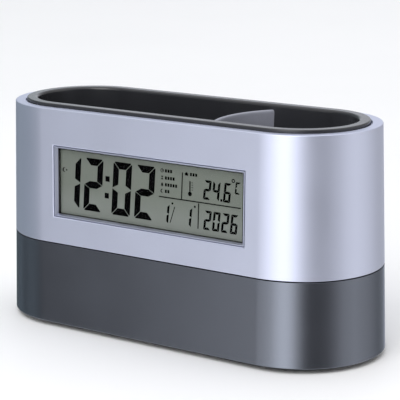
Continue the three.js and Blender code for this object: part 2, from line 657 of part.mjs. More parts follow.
// Pen tray: flanged tub with an arc-shaped divider and pillars for the case screws.
function makePenTray() {
  const tub = racetrack([
    [trayOuterInset(trayZ) + TRAY_CORNER, trayZ],
    [trayOuterInset(trayZ + TRAY_CORNER), trayZ + TRAY_CORNER],
    [trayOuterInset(flangeZ), flangeZ],
    [flangeInset, flangeZ],
    ...fillet(flangeInset + FLANGE_EDGE_RADIUS, topZ - FLANGE_EDGE_RADIUS, FLANGE_EDGE_RADIUS, 0, 90),
  ], false);
  const cavity = racetrack([
    [trayInnerInset(trayFloorZ) + TRAY_CORNER, trayFloorZ],
    [trayInnerInset(trayFloorZ + TRAY_CORNER), trayFloorZ + TRAY_CORNER],
    ...fillet(mouthInset - LIP_RADIUS, topZ - LIP_RADIUS, LIP_RADIUS, 180, 90),
    [mouthInset - LIP_RADIUS, topZ + OVERSHOOT],
  ], false);
  const mouthEndX = endX + footRadius - mouthInset;
  const centreX = mouthEndX - RIGHT_POCKET_LENGTH + DIVIDER_RADIUS;
  const dividerTop = topZ - DIVIDER_DROP;
  const outer = bar(DIVIDER_RADIUS, trayZ, dividerTop, DIVIDER_STEPS);
  const inner = bar(DIVIDER_RADIUS - DIVIDER_WALL, trayZ - OVERSHOOT, topZ, DIVIDER_STEPS);
  const leftHalf = box(-2 * DIVIDER_RADIUS, 0, -BODY_DEPTH, BODY_DEPTH, 0, topZ);
  const divider = common(cut(outer, inner), leftHalf).translate(centreX, 0, 0);
  const pockets = cut(cavity, divider);
  const pillars = cornerSpots.map(([x, y]) =>
    bar(PILLAR_RADIUS, cupTopZ, trayZ + TRAY_FLOOR / 2).translate(x * endX, y * screwY, 0));
  const pilotTop = caseScrewHeadZ + CASE_SCREW.headHeight + CASE_SCREW.length + OVERSHOOT;
  const pilots = cornerSpots.map(([x, y]) =>
    bar(CASE_SCREW.shank + THREAD_GAP, cupTopZ - OVERSHOOT, Math.min(pilotTop, trayZ))
      .translate(x * endX, y * screwY, 0));
  return cut(join(cut(tub, pockets), ...pillars), ...pilots);
}

// Window frame: bevelled front, a pocket for the lens and a flange behind the shell wall.
function makeWindowFrame() {
  const front = slab(frameWidth, frameHeight, FRAME_RECESS, flangeBack);
  const flange = slab(
    WINDOW_WIDTH + 2 * FRAME_FLANGE_WIDTH, WINDOW_HEIGHT + 2 * FRAME_FLANGE_WIDTH, flangeDepth, flangeBack);
  const bevel = taperedSlab(
    [frameWidth - 2 * FRAME_EDGE, frameHeight - 2 * FRAME_EDGE], [sightWidth, sightHeight],
    FRAME_RECESS, BEVEL_DEPTH);
  const sight = slab(sightWidth, sightHeight, 0, flangeBack + OVERSHOOT);
  const pocket = slab(
    lensWidth + 2 * SEAT_GAP, lensHeight + 2 * SEAT_GAP, BEVEL_DEPTH, flangeBack + OVERSHOOT);
  return cut(join(front, flange), bevel, sight, pocket);
}

// Liquid crystal panel: two glass plates, the rear one taller for the contact ledges.
function makePanel() {
  const middle = (panelDepth + panelBack) / 2;
  const rear = slab(panelWidth, panelHeight, middle, panelBack);
  const front = slab(panelWidth, panelHeight - 2 * PANEL_LEDGE + STRIP_WIDTH, panelDepth, middle);
  return join(rear, front);
}

function makeHolder() {
  const outer = slab(holderWidth, holderHeight, flangeBack + SEAT_GAP, boardDepth - SEAT_GAP);
  const room = slab(
    panelWidth + 2 * SLIDE_GAP, panelHeight + 2 * SLIDE_GAP, flangeBack, boardDepth);
  return cut(outer, room);
}

function makeMainBoard() {
  const plate = box(-boardWidth / 2, boardWidth / 2, boardDepth, boardBack, boardBottom, boardTop);
  const holes = postSpots.map(([x, v]) =>
    crossBar(BOARD_SCREW.shank + HOLE_GAP, boardDepth - OVERSHOOT, boardBack + OVERSHOOT).translate(x, 0, v));
  return cut(plate, ...holes);
}

// Resin dome as a low spherical cap standing on the board.
function makeChipDome() {
  const profile = Array.from({ length: DOME_STEPS + 1 }, (unused, k) => {
    const angle = (Math.PI / 2) * (k / DOME_STEPS);
    return [CHIP_RADIUS * Math.cos(angle), CHIP_HEIGHT * Math.sin(angle)];
  });
  profile[DOME_STEPS][0] = 0;
  return turned([[0, 0], ...profile]).rotateX(-Math.PI / 2);
}

// Temperature sensor: a bead on two legs.
function makeSensor() {
  const bead = geometryOf(solidOf(new THREE.SphereGeometry(SENSOR_RADIUS, SMALL_ROUND_STEPS, HOLE_STEPS)));
  const legs = [1, -1].map((side) =>
    bar(SENSOR_LEG_RADIUS, 0, SENSOR_LEG_LENGTH, LEG_STEPS).translate((side * SENSOR_RADIUS) / 2, 0, 0));
  return join(bead, ...legs);
}

// Push button pressed along -Y, its shell face at zero.
function makeButton() {
  const stem = BUTTON_RADIUS;
  const collar = BUTTON_RADIUS + BUTTON_COLLAR;
  return turned([
    [0, -collarBack],
    [collar, -collarBack],
    [collar, -collarDepth],
    [stem, -collarDepth],
    [stem, BUTTON_PROUD - BUTTON_EDGE],
    [stem - BUTTON_EDGE_MIDDLE, BUTTON_PROUD - BUTTON_EDGE_MIDDLE],
    [stem - BUTTON_EDGE, BUTTON_PROUD],
    [0, BUTTON_PROUD],
  ]).rotateX(-Math.PI / 2);
}

function makeSwitch() {
  const body = slab(SWITCH_SIDE, SWITCH_SIDE, -switchBack, -switchDepth);
  const bore = crossBar(
    PLUNGER_RADIUS + SLIDE_GAP, -switchBack + BUTTON_TRAVEL / 2, -switchDepth + OVERSHOOT);
  return cut(body, bore);
}

const makePlunger = () =>
  crossBar(PLUNGER_RADIUS, -switchDepth - PLUNGER_PROUD, -plungerDepth);

function makeButtonBoard() {
  const plate = slab(buttonBoardWidth, BUTTON_BOARD_HEIGHT, -buttonBoardBack, -buttonBoardDepth);
  const holes = [1, -1].map((side) =>
    crossBar(BOARD_SCREW.shank + HOLE_GAP, -buttonBoardBack - OVERSHOOT, -buttonBoardDepth + OVERSHOOT)
      .translate(side * buttonPostX, 0, 0));
  return cut(plate, ...holes);
}

// Dry cell along +X, its nose towards +X and its middle at zero.
function makeCell() {
  const tail = -CELL_LENGTH / 2;
  const shoulder = CELL_LENGTH / 2 - CELL_NOSE_LENGTH;
  return turned([
    [0, tail],
    [CELL_RADIUS - CELL_EDGE, tail],
    [CELL_RADIUS, tail + CELL_EDGE],
    [CELL_RADIUS, shoulder - CELL_EDGE],
    [CELL_RADIUS - CELL_EDGE, shoulder],
    [CELL_NOSE_RADIUS, shoulder],
    [CELL_NOSE_RADIUS, CELL_LENGTH / 2],
    [0, CELL_LENGTH / 2],
  ]).rotateY(Math.PI / 2);
}

// Contact with a tab that passes out through the end wall of the compartment.
function makeEndContact() {
  const half = CONTACT_WIDTH / 2;
  const tab = CONTACT_TAB / 2;
  return join(
    box(-CONTACT_THICKNESS, 0, -half, half, -half, half),
    box(-CONTACT_THICKNESS / 2, CONTACT_TAB_REACH, -tab, tab, -CONTACT_THICKNESS, CONTACT_THICKNESS));
}

// Bridge contact that joins the two cells at the closed end.
function makeBridge() {
  const half = CONTACT_WIDTH / 2;
  return box(0, CONTACT_THICKNESS, -half, half, -half, cellPitch + half);
}

// Coil spring along +X. The least gap between its turns is measured and printed.
function makeSpring() {
  const length = SPRING_LENGTH - 2 * SPRING_WIRE;
  const steps = CURL_STEPS * SPRING_TURNS;
  const stops = Array.from({ length: steps + 1 }, (unused, k) => {
    const angle = (2 * Math.PI * k) / CURL_STEPS;
    return new THREE.Vector3(
      SPRING_WIRE + (length * k) / steps,
      SPRING_RADIUS * Math.cos(angle), SPRING_RADIUS * Math.sin(angle));
  });
  const gaps = stops.flatMap((stop, k) =>
    stops.slice(k + CURL_STEPS / 2).map((other) => stop.distanceTo(other) - 2 * SPRING_WIRE));
  console.log("least gap between spring turns", Math.min(...gaps).toFixed(2), "mm");
  const path = new THREE.CatmullRomCurve3(stops);
  const outline = new THREE.Shape(Array.from({ length: CURL_SIDES }, (unused, k) => {
    const angle = (2 * Math.PI * k) / CURL_SIDES;
    return new THREE.Vector2(SPRING_WIRE * Math.cos(angle), SPRING_WIRE * Math.sin(angle));
  }));
  const options = { steps, extrudePath: path, bevelEnabled: false };
  return geometryOf(solidOf(new THREE.ExtrudeGeometry(outline, options)));
}

// Where the wiring runs under the tray and up behind the main board
const boardEdgeY = frontOrigin.y + boardBack;
const wireUnderZ = trayZ - 2 * LEAD_RADIUS - CASE_CLEARANCE;

// Flat cable from the button board, under the tray, up to the main board.
function makeCable() {
  const rearY = buttonFaceY - buttonBoardBack - SEAT_GAP - CABLE_THICKNESS / 2;
  const frontY = boardEdgeY + SEAT_GAP + CABLE_THICKNESS / 2;
  const startZ = buttonZ - BUTTON_BOARD_HEIGHT / 2 + CABLE_LAP;
  const endZ = windowZ + boardBottom + CABLE_LAP;
  const stops = [
    [rearY, startZ], [rearY, (startZ + wireUnderZ) / 2], [rearY, trayZ + CABLE_WIDTH / 2],
    [rearY - CABLE_WIDTH / 2, wireUnderZ], [0, wireUnderZ], [frontY + CABLE_WIDTH / 2, wireUnderZ],
    [frontY, trayZ + CABLE_WIDTH / 2], [frontY, endZ],
  ];
  const path = new THREE.CatmullRomCurve3(
    stops.map(([y, z]) => new THREE.Vector3(cableX, y, z)), false, "centripetal");
  const outline = new THREE.Shape([
    new THREE.Vector2(-CABLE_THICKNESS / 2, -CABLE_WIDTH / 2),
    new THREE.Vector2(CABLE_THICKNESS / 2, -CABLE_WIDTH / 2),
    new THREE.Vector2(CABLE_THICKNESS / 2, CABLE_WIDTH / 2),
    new THREE.Vector2(-CABLE_THICKNESS / 2, CABLE_WIDTH / 2),
  ]);
  const options = { steps: CABLE_STEPS, extrudePath: path, bevelEnabled: false };
  return geometryOf(solidOf(new THREE.ExtrudeGeometry(outline, options)));
}

// Battery lead from a contact tab, under the tray, up to the main board.
function makeBatteryLead(cellZ, order) {
  const tabX = caseEndX + CONTACT_TAB_REACH + SEAT_GAP;
  const runX = tabX + (order + 1) * LEAD_SPACING;
  const frontY = boardEdgeY + WIRE_GAP + LEAD_RADIUS;
  const endZ = windowZ + boardBottom + CABLE_LAP;
  return lead(LEAD_RADIUS, [
    [tabX, cellY, cellZ], [tabX + LEAD_SPACING / 2, cellY, cellZ], [runX, cellY - LEAD_SPACING, cellZ],
    [runX, 0, (cellZ + wireUnderZ) / 2], [runX, frontY + LEAD_SPACING, wireUnderZ],
    [runX, frontY, trayZ + LEAD_SPACING], [runX, frontY, endZ],
  ], LEAD_STEPS);
}

// Sounder lead from the disc, in front of the tray, up to the main board.
function makeSounderLead(order) {
  const startX = SOUNDER_X + (order - 0.5) * LEAD_SPACING;
  const startZ = sounderTopZ + SEAT_GAP + SOUNDER_LEAD_RADIUS;
  const frontY = boardEdgeY + WIRE_GAP + LEAD_RADIUS;
  const endZ = windowZ + boardBottom + CABLE_LAP;
  return lead(SOUNDER_LEAD_RADIUS, [
    [startX, sounderY, startZ], [startX, sounderY - LEAD_SPACING, startZ + LEAD_SPACING / 2],
    [startX, frontY + LEAD_SPACING / 2, (startZ + wireUnderZ) / 2],
    [startX, frontY, trayZ + LEAD_SPACING], [startX, frontY, endZ],
  ], SOUNDER_LEAD_STEPS);
}

const sounderZ = baseZ + SOUNDER_SEAT;
const sounderTopZ = sounderZ + SOUNDER_THICKNESS + CERAMIC_THICKNESS;

// Assembly
const holder = new THREE.Group();
holder.name = "clock_pen_holder";

function addMesh(group, name, geometry, material, x = 0, y = 0, z = 0) {
  const mesh = new THREE.Mesh(geometry, material);
  mesh.name = name;
  mesh.position.set(x, y, z);
  group.add(mesh);
  return mesh;
}

function addGroup(name) {
  const group = new THREE.Group();
  group.name = name;
  holder.add(group);
  return group;
}

// Case
const baseRing = makeBaseRing();
const caseGroup = addGroup("case");
addMesh(caseGroup, "upper_shell", makeUpperShell(), materials.silver);
addMesh(caseGroup, "base_shell", makeBaseShell(baseRing), materials.charcoal);
addMesh(caseGroup, "bottom_cover", makeBottomCover(), materials.charcoal);
addMesh(caseGroup, "pen_tray", makePenTray(), materials.trayBlack);
const caseScrew = screw(CASE_SCREW);
const foot = turned([
  [0, 0], [FOOT_RADIUS - FOOT_HEIGHT / 2, 0], [FOOT_RADIUS, FOOT_HEIGHT / 2],
  [FOOT_RADIUS, FOOT_HEIGHT], [0, FOOT_HEIGHT],
]);
cornerSpots.forEach(([x, y], k) => {
  addMesh(caseGroup, `case_screw_${k + 1}`, caseScrew, materials.steel,
    x * endX, y * screwY, caseScrewHeadZ + CASE_SCREW.headHeight);
  addMesh(caseGroup, `rubber_foot_${k + 1}`, foot, materials.footRubber,
    x * (endX + FOOT_REACH), y * (screwY + FOOT_RADIUS), 0);
});

// Display module, square to the tilted front face
const display = addGroup("display");
display.position.copy(frontOrigin);
display.rotation.x = frontTilt;
addMesh(display, "window_frame", makeWindowFrame(), materials.silver);
addMesh(display, "window_lens", slab(lensWidth, lensHeight, lensDepth, lensDepth + LENS_THICKNESS),
  materials.clear);
addMesh(display, "lcd_panel", makePanel(), materials.panelGrey);
addMesh(display, "lcd_holder", makeHolder(), materials.holderWhite);
const stripV = panelHeight / 2 - STRIP_WIDTH / 2;
const stripMiddle = panelBack + SEAT_GAP + STRIP_HEIGHT / 2;
const strip = slab(panelWidth, STRIP_WIDTH, -STRIP_HEIGHT / 2, STRIP_HEIGHT / 2);
addMesh(display, "contact_strip_upper", strip, materials.contactRubber, 0, stripMiddle, stripV);
addMesh(display, "contact_strip_lower", strip, materials.contactRubber, 0, stripMiddle, -stripV);
addMesh(display, "main_board", makeMainBoard(), materials.boardGreen);
const behindBoard = boardBack + SEAT_GAP;
const partV = boardBottom + BOARD_BELOW + CHIP_RADIUS / 2;
addMesh(display, "chip_dome", makeChipDome(), materials.resinBlack, 0, behindBoard, partV);
const crystal = bar(CRYSTAL_RADIUS, -CRYSTAL_LENGTH / 2, CRYSTAL_LENGTH / 2).rotateY(Math.PI / 2);
const crystalX = CHIP_RADIUS + CRYSTAL_LENGTH;
addMesh(display, "quartz_crystal", crystal, materials.tinned, crystalX, behindBoard + CRYSTAL_RADIUS, partV);
const capacitor = new THREE.BoxGeometry(...CAPACITOR_SIZE);
[1, -1].forEach((side, k) => {
  addMesh(display, `capacitor_${k + 1}`, capacitor, materials.ceramicTan,
    crystalX + CRYSTAL_LENGTH, behindBoard + CAPACITOR_SIZE[1] / 2, partV + side * CAPACITOR_SIZE[2]);
});
addMesh(display, "temperature_sensor", makeSensor(), materials.resinBlack,
  postX - CABLE_WIDTH, behindBoard + SENSOR_RADIUS, boardBottom + SENSOR_RADIUS);
const boardScrew = screw(BOARD_SCREW);
postSpots.forEach(([x, v], k) => {
  const mesh = addMesh(display, `board_screw_${k + 1}`, boardScrew, materials.steel, x, behindBoard, v);
  mesh.rotation.x = Math.PI / 2;
});

// Buttons and their board on the back
const controls = addGroup("controls");
controls.position.set(0, buttonFaceY, buttonZ);
const button = makeButton();
const switchBody = makeSwitch();
const plunger = makePlunger();
BUTTON_NAMES.forEach((name, k) => {
  addMesh(controls, `${name}_button`, button, materials.charcoal, buttonX(k));
  addMesh(controls, `${name}_switch`, switchBody, materials.resinBlack, buttonX(k));
  addMesh(controls, `${name}_plunger`, plunger, materials.holderWhite, buttonX(k));
});
addMesh(controls, "button_board", makeButtonBoard(), materials.boardGreen);
[1, -1].forEach((side, k) => {
  const mesh = addMesh(controls, `button_board_screw_${k + 1}`, boardScrew, materials.steel,
    side * buttonPostX, -buttonBoardBack - SEAT_GAP, 0);
  mesh.rotation.x = -Math.PI / 2;
});
addMesh(holder, "button_cable", makeCable(), materials.cableGrey);

// Power
const power = addGroup("power");
addMesh(power, "battery_door", makeBatteryDoor(baseRing), materials.charcoal);
const cell = makeCell();
const plateX = caseEndX - SEAT_GAP;
const cellX = plateX - CONTACT_THICKNESS - SEAT_GAP - CELL_LENGTH / 2;
addMesh(power, "battery_1", cell, materials.cellJacket, cellX, cellY, upperCellZ);
const second = addMesh(power, "battery_2", cell, materials.cellJacket, -cellX, cellY, lowerCellZ);
second.rotation.z = Math.PI;
const endContact = makeEndContact();
addMesh(power, "positive_contact", endContact, materials.tinned, plateX, cellY, upperCellZ);
addMesh(power, "negative_contact", endContact, materials.tinned, plateX, cellY, lowerCellZ);
addMesh(power, "bridge_contact", makeBridge(), materials.tinned, -plateX, cellY, lowerCellZ);
const spring = makeSpring();
const springX = plateX - CONTACT_THICKNESS - SEAT_GAP;
addMesh(power, "battery_spring_1", spring, materials.steel, -springX, cellY, upperCellZ);
const farSpring = addMesh(power, "battery_spring_2", spring, materials.steel, springX, cellY, lowerCellZ);
farSpring.rotation.z = Math.PI;
addMesh(power, "red_lead", makeBatteryLead(upperCellZ, 0), materials.redLead);
addMesh(power, "black_lead", makeBatteryLead(lowerCellZ, 1), materials.blackLead);

// Sounder
const sounder = addGroup("sounder");
addMesh(sounder, "sounder_disc", bar(SOUNDER_RADIUS, 0, SOUNDER_THICKNESS, ROUND_STEPS), materials.brass,
  SOUNDER_X, sounderY, sounderZ);
addMesh(sounder, "sounder_ceramic", bar(CERAMIC_RADIUS, 0, CERAMIC_THICKNESS, ROUND_STEPS),
  materials.ceramicWhite, SOUNDER_X, sounderY, sounderZ + SOUNDER_THICKNESS);
[0, 1].forEach((order) => {
  const material = order === 0 ? materials.redLead : materials.blackLead;
  addMesh(sounder, `sounder_lead_${order + 1}`, makeSounderLead(order), material);
});

export default holder;
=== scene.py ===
"""Looks of the desk clock pen holder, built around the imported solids.

Lengths in this file are millimetres and become metres when a mesh is made.
The display faces -Y, +Z is up and the origin lies on the desk under the body.
"""

import json
import math

import bmesh
import bpy
from mathutils import Matrix, Vector


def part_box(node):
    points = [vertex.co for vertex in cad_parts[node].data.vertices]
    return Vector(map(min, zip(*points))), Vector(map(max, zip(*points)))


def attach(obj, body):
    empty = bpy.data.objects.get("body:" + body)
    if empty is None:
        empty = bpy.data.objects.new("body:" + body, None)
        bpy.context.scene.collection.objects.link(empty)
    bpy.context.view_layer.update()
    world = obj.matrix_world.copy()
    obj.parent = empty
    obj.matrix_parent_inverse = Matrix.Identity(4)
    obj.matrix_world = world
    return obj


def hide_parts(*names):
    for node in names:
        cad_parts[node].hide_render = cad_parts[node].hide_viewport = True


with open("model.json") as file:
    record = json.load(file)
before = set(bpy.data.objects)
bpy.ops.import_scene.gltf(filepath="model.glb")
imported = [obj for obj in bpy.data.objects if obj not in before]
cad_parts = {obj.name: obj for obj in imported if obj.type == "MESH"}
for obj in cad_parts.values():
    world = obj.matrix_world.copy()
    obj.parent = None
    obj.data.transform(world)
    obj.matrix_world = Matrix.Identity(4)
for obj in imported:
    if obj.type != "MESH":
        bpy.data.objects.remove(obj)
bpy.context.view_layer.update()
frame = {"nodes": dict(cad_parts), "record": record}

MM = 0.001

# Body, as in the solids
BODY_RADIUS = 32.15
END_X = 50.35
DRAFT_DEG = 1.5
SLOPE = math.tan(math.radians(DRAFT_DEG))
COVER_Z = 0.5
BASE_Z = 2.0
DOOR_Z = 4.5
DOOR_TOP_Z = 27.0
CASE_TOP_Z = 28.2
TRAY_Z = 29.2
TRAY_FLOOR_Z = 31.0
SEAM_Z = 34.8
BUTTON_Z = 58.8
WINDOW_Z = 59.3
FLANGE_Z = 86.7
RIM_Z = 87.7
TOP_Z = 88.9
SHELL_WALL = 2.2
BASE_WALL = 2.4
SEAM_ROUND = 0.25
SEAM_DROP = 0.2
SEAM_GAP = 0.4
SEAM_GAP_DEPTH = 1.2
EDGE_ROUND = 0.15
FOOT_ROUND = 0.25
TOP_ROUND = 0.35
RIM_WIDTH = 4.1
RIM_ROUND = 0.35
FLANGE_GAP = 0.5
FLANGE_ROUND = 0.5
LEDGE = 2.0
TRAY_WALL = 1.6
TRAY_SLOPE = math.tan(math.radians(2.0))
TRAY_CORNER = 2.5
LIP_ROUND = 1.2
MOUTH_INSET = 11.347
HOLE_GAP = 0.3
SEAT_GAP = 0.1
BEYOND = 1.0

# Fineness of curved faces
ARC_STEPS = 72
FILLET_STEPS = 7
ROUND_STEPS = 48
DIVIDER_STEPS = 96
EDGE_STEPS = 5
POST_SIDES = 24
SHARP_DEG = 33.0
WELD = 1e-5
TIP_RADIUS = 0.02


def face_inset(z):
    """Inset of the drafted outer face from the outline at desk height."""
    return z * SLOPE


def rear_inner_y(z):
    """Depth of the inner side of the rear base wall."""
    return BODY_RADIUS - face_inset(z) - BASE_WALL


def tray_inset(z):
    """Inset of the inner wall of the tray."""
    return MOUTH_INSET + (TOP_Z - z) * TRAY_SLOPE


FRONT_Y = face_inset(WINDOW_Z) - BODY_RADIUS
FRONT = Matrix.Translation((0, FRONT_Y, WINDOW_Z)) @ Matrix.Rotation(math.radians(-DRAFT_DEG), 4, "X")
BUTTON_Y = BODY_RADIUS - face_inset(BUTTON_Z)
REAR = Matrix.Translation((0, BUTTON_Y, BUTTON_Z)) @ Matrix.Rotation(math.radians(-90), 4, "X")


# Shapes: a list of points and a list of faces

def quarter_turn(steps):
    return [math.pi / 2 * k / steps for k in range(steps + 1)]


def full_turn(steps):
    return [2 * math.pi * k / steps for k in range(steps)]


def fillet(inset, z, radius, start, end):
    """Profile points on an arc, from one angle to another in degrees."""
    turns = [math.radians(start + (end - start) * k / FILLET_STEPS) for k in range(FILLET_STEPS + 1)]
    return [(inset - radius * math.cos(t), z + radius * math.sin(t)) for t in turns]


def plan(inset):
    """Points of the racetrack outline of the body at an inset."""
    radius = BODY_RADIUS - inset
    found = []
    for end in (1, -1):
        for k in range(ARC_STEPS + 1):
            angle = math.pi * (k / ARC_STEPS - end / 2)
            found.append((end * END_X + radius * math.cos(angle), radius * math.sin(angle)))
    return found


def swept(outlines, closed):
    """Skin over outlines with equal numbers of points, as a ring or with its two ends capped."""
    count = len(outlines[0])
    points = [Vector(p) for outline in outlines for p in outline]
    faces = []
    for row in range(len(outlines) if closed else len(outlines) - 1):
        below, above = row * count, (row + 1) % len(outlines) * count
        for k in range(count):
            side = (k + 1) % count
            faces.append((below + k, below + side, above + side, above + k))
    if not closed:
        last = (len(outlines) - 1) * count
        faces.append(tuple(reversed(range(count))))
        faces.append(tuple(range(last, last + count)))
    return points, faces


def racetrack(profile, closed):
    """Profile of insets and heights swept round the plan of the body."""
    return swept([[(x, y, z) for x, y in plan(inset)] for inset, z in profile], closed)


def turned(profile, steps=ROUND_STEPS, closed=False):
    """Profile of radii and heights turned about z. An open profile ends in flat or pointed caps."""
    turns = full_turn(steps)
    outlines = [[(radius * math.cos(t), radius * math.sin(t), z) for t in turns] for radius, z in profile]
    return swept(outlines, closed)


def rod(radius, low, high, steps):
    return turned([(radius, low), (radius, high)], steps)


def box(x0, x1, y0, y1, z0, z1):
    corners = [[(x0, y0, z), (x1, y0, z), (x1, y1, z), (x0, y1, z)] for z in (z0, z1)]
    return swept(corners, False)


def frames(rings, closed):
    """Skin over upright rectangles given as half width, half height and depth."""
    return swept([[(-w, d, -h), (w, d, -h), (w, d, h), (-w, d, h)] for w, h, d in rings], closed)


def moved(shape, matrix):
    return [matrix @ p for p in shape[0]], shape[1]


def at(shape, x, y, z):
    return moved(shape, Matrix.Translation((x, y, z)))


def together(*shapes):
    """Several separate shapes as one."""
    points, faces = [], []
    for more_points, more_faces in shapes:
        start = len(points)
        points += more_points
        faces += [tuple(start + i for i in face) for face in more_faces]
    return points, faces


def add_object(name, data):
    """New object in the scene."""
    found = bpy.data.objects.new(name, data)
    bpy.context.scene.collection.objects.link(found)
    return found


def tidy_mesh(name, shape, scale):
    """Mesh of a shape, welded and with its faces pointing out."""
    bm = bmesh.new()
    corners = [bm.verts.new(p * scale) for p in shape[0]]
    for face in shape[1]:
        bm.faces.new([corners[i] for i in face])
    bmesh.ops.remove_doubles(bm, verts=bm.verts, dist=WELD * scale)
    bmesh.ops.dissolve_degenerate(bm, edges=bm.edges, dist=WELD * scale)
    bmesh.ops.recalc_face_normals(bm, faces=bm.faces)
    mesh = bpy.data.meshes.new(name)
    bm.to_mesh(mesh)
    bm.free()
    return mesh


def combine(first, second, operation):
    """Two shapes joined, cut or kept where they meet."""
    helpers = [add_object("helper", tidy_mesh("helper", shape, 1.0)) for shape in (first, second)]
    modifier = helpers[0].modifiers.new("combine", "BOOLEAN")
    modifier.operation = operation
    modifier.solver = "EXACT"
    modifier.object = helpers[1]
    bpy.context.view_layer.update()
    solved = helpers[0].evaluated_get(bpy.context.evaluated_depsgraph_get())
    result = bpy.data.meshes.new_from_object(solved)
    shape = [v.co.copy() for v in result.vertices], [tuple(f.vertices) for f in result.polygons]
    bpy.data.meshes.remove(result)
    for helper in helpers:
        bpy.data.meshes.remove(helper.data)
    return shape


def cut(shape, *tools):
    return combine(shape, together(*tools), "DIFFERENCE")


def join(shape, *others):
    return combine(shape, together(*others), "UNION")


def common(shape, other):
    return combine(shape, other, "INTERSECT")


# Materials

def nodes_of(name):
    material = bpy.data.materials.new(name)
    material.use_nodes = True
    tree = material.node_tree
    place = tree.nodes.new("ShaderNodeTexCoord")
    return material, tree, tree.nodes["Principled BSDF"], place.outputs["Object"]


NOISE_DETAIL = 3.0
NOISE_LOW, NOISE_HIGH = 0.3, 0.7


def noise(tree, place, scale):
    """Cloudy values between about the two limits above, with the scale in clouds per metre."""
    node = tree.nodes.new("ShaderNodeTexNoise")
    node.inputs["Scale"].default_value = scale
    node.inputs["Detail"].default_value = NOISE_DETAIL
    tree.links.new(place, node.inputs["Vector"])
    return node.outputs["Fac"]


def spread(tree, value, low, high, start=NOISE_LOW, end=NOISE_HIGH):
    """A value between two limits, rescaled to others."""
    node = tree.nodes.new("ShaderNodeMapRange")
    node.inputs["From Min"].default_value = start
    node.inputs["From Max"].default_value = end
    node.inputs["To Min"].default_value = low
    node.inputs["To Max"].default_value = high
    tree.links.new(value, node.inputs["Value"])
    return node.outputs["Result"]


# Places of the colour sockets on a mix node
COLOUR_A, COLOUR_B, COLOUR_MIX = 6, 7, 2
EVEN_SHARE = 0.5


def mixed(tree, share, first, second):
    """Colour between two others. The share and the colours are each a value or a socket."""
    node = tree.nodes.new("ShaderNodeMix")
    node.data_type = "RGBA"
    sockets = node.inputs["Factor"], node.inputs[COLOUR_A], node.inputs[COLOUR_B]
    for value, socket in zip((share, first, second), sockets):
        if isinstance(value, bpy.types.NodeSocket):
            tree.links.new(value, socket)
        elif isinstance(value, float):
            socket.default_value = value
        else:
            socket.default_value = (*value, 1)
    return node.outputs[COLOUR_MIX]


def bumped(tree, shader, height, strength, distance):
    node = tree.nodes.new("ShaderNodeBump")
    node.inputs["Strength"].default_value = strength
    node.inputs["Distance"].default_value = distance * MM
    tree.links.new(height, node.inputs["Height"])
    tree.links.new(node.outputs["Normal"], shader.inputs["Normal"])


def coat(tree, shader, colour, rough):
    """Give a shader its colour and its roughness."""
    tree.links.new(colour, shader.inputs["Base Color"])
    tree.links.new(rough, shader.inputs["Roughness"])


def shaded(colour, factor):
    return tuple(c * factor for c in colour)


def surface(name, colour, vary, broad, fine, rough, bump=0.1, depth=0.02, metal=0.0, specular=0.5,
            flat_view=(1.0, 1.0, 1.0)):
    """Moulded or painted surface: broad and fine colour variation, uneven gloss and a fine grain.

    Vary is a share of the colour, broad and fine are clouds per metre, and rough holds two limits.
    """
    material, tree, shader, place = nodes_of(name)
    cloud = noise(tree, place, broad)
    grain = noise(tree, place, fine)
    darker, lighter = shaded(colour, 1 - vary), shaded(colour, 1 + vary)
    body = mixed(tree, spread(tree, cloud, 0, 1), darker, lighter)
    speck = mixed(tree, spread(tree, grain, 0, 1), darker, lighter)
    coat(tree, shader, mixed(tree, EVEN_SHARE, body, speck), spread(tree, cloud, *rough))
    bumped(tree, shader, grain, bump, depth)
    shader.inputs["Metallic"].default_value = metal
    shader.inputs["Specular IOR Level"].default_value = specular
    shader.inputs["Specular Tint"].default_value = (*flat_view, 1)
    return material


SILVER = (0.587, 0.618, 0.76)
CHARCOAL = (0.152, 0.165, 0.198)
CHARCOAL_EDGE = (0.65, 0.68, 0.73)
FRAME_SHADE = 0.97
# Share of the silver kept on the lower slope of the window frame, a darker copy of the same paint as painted
# shade
SILL_SHADE = 0.66
PAINT_METAL = 0.9


def silver_paint(name, shade, broad, rough, bump):
    """Satin metallic paint of the shell and the window frame."""
    return surface(name, shaded(SILVER, shade), 0.02, broad, 3200, rough, bump, 0.01, PAINT_METAL)


def charcoal_paint(name):
    """Dark metallic paint of the base and its door, with more gloss."""
    return surface(name, CHARCOAL, 0.04, 50, 2600, (0.15, 0.19), 0.06, 0.012, PAINT_METAL,
                   flat_view=CHARCOAL_EDGE)


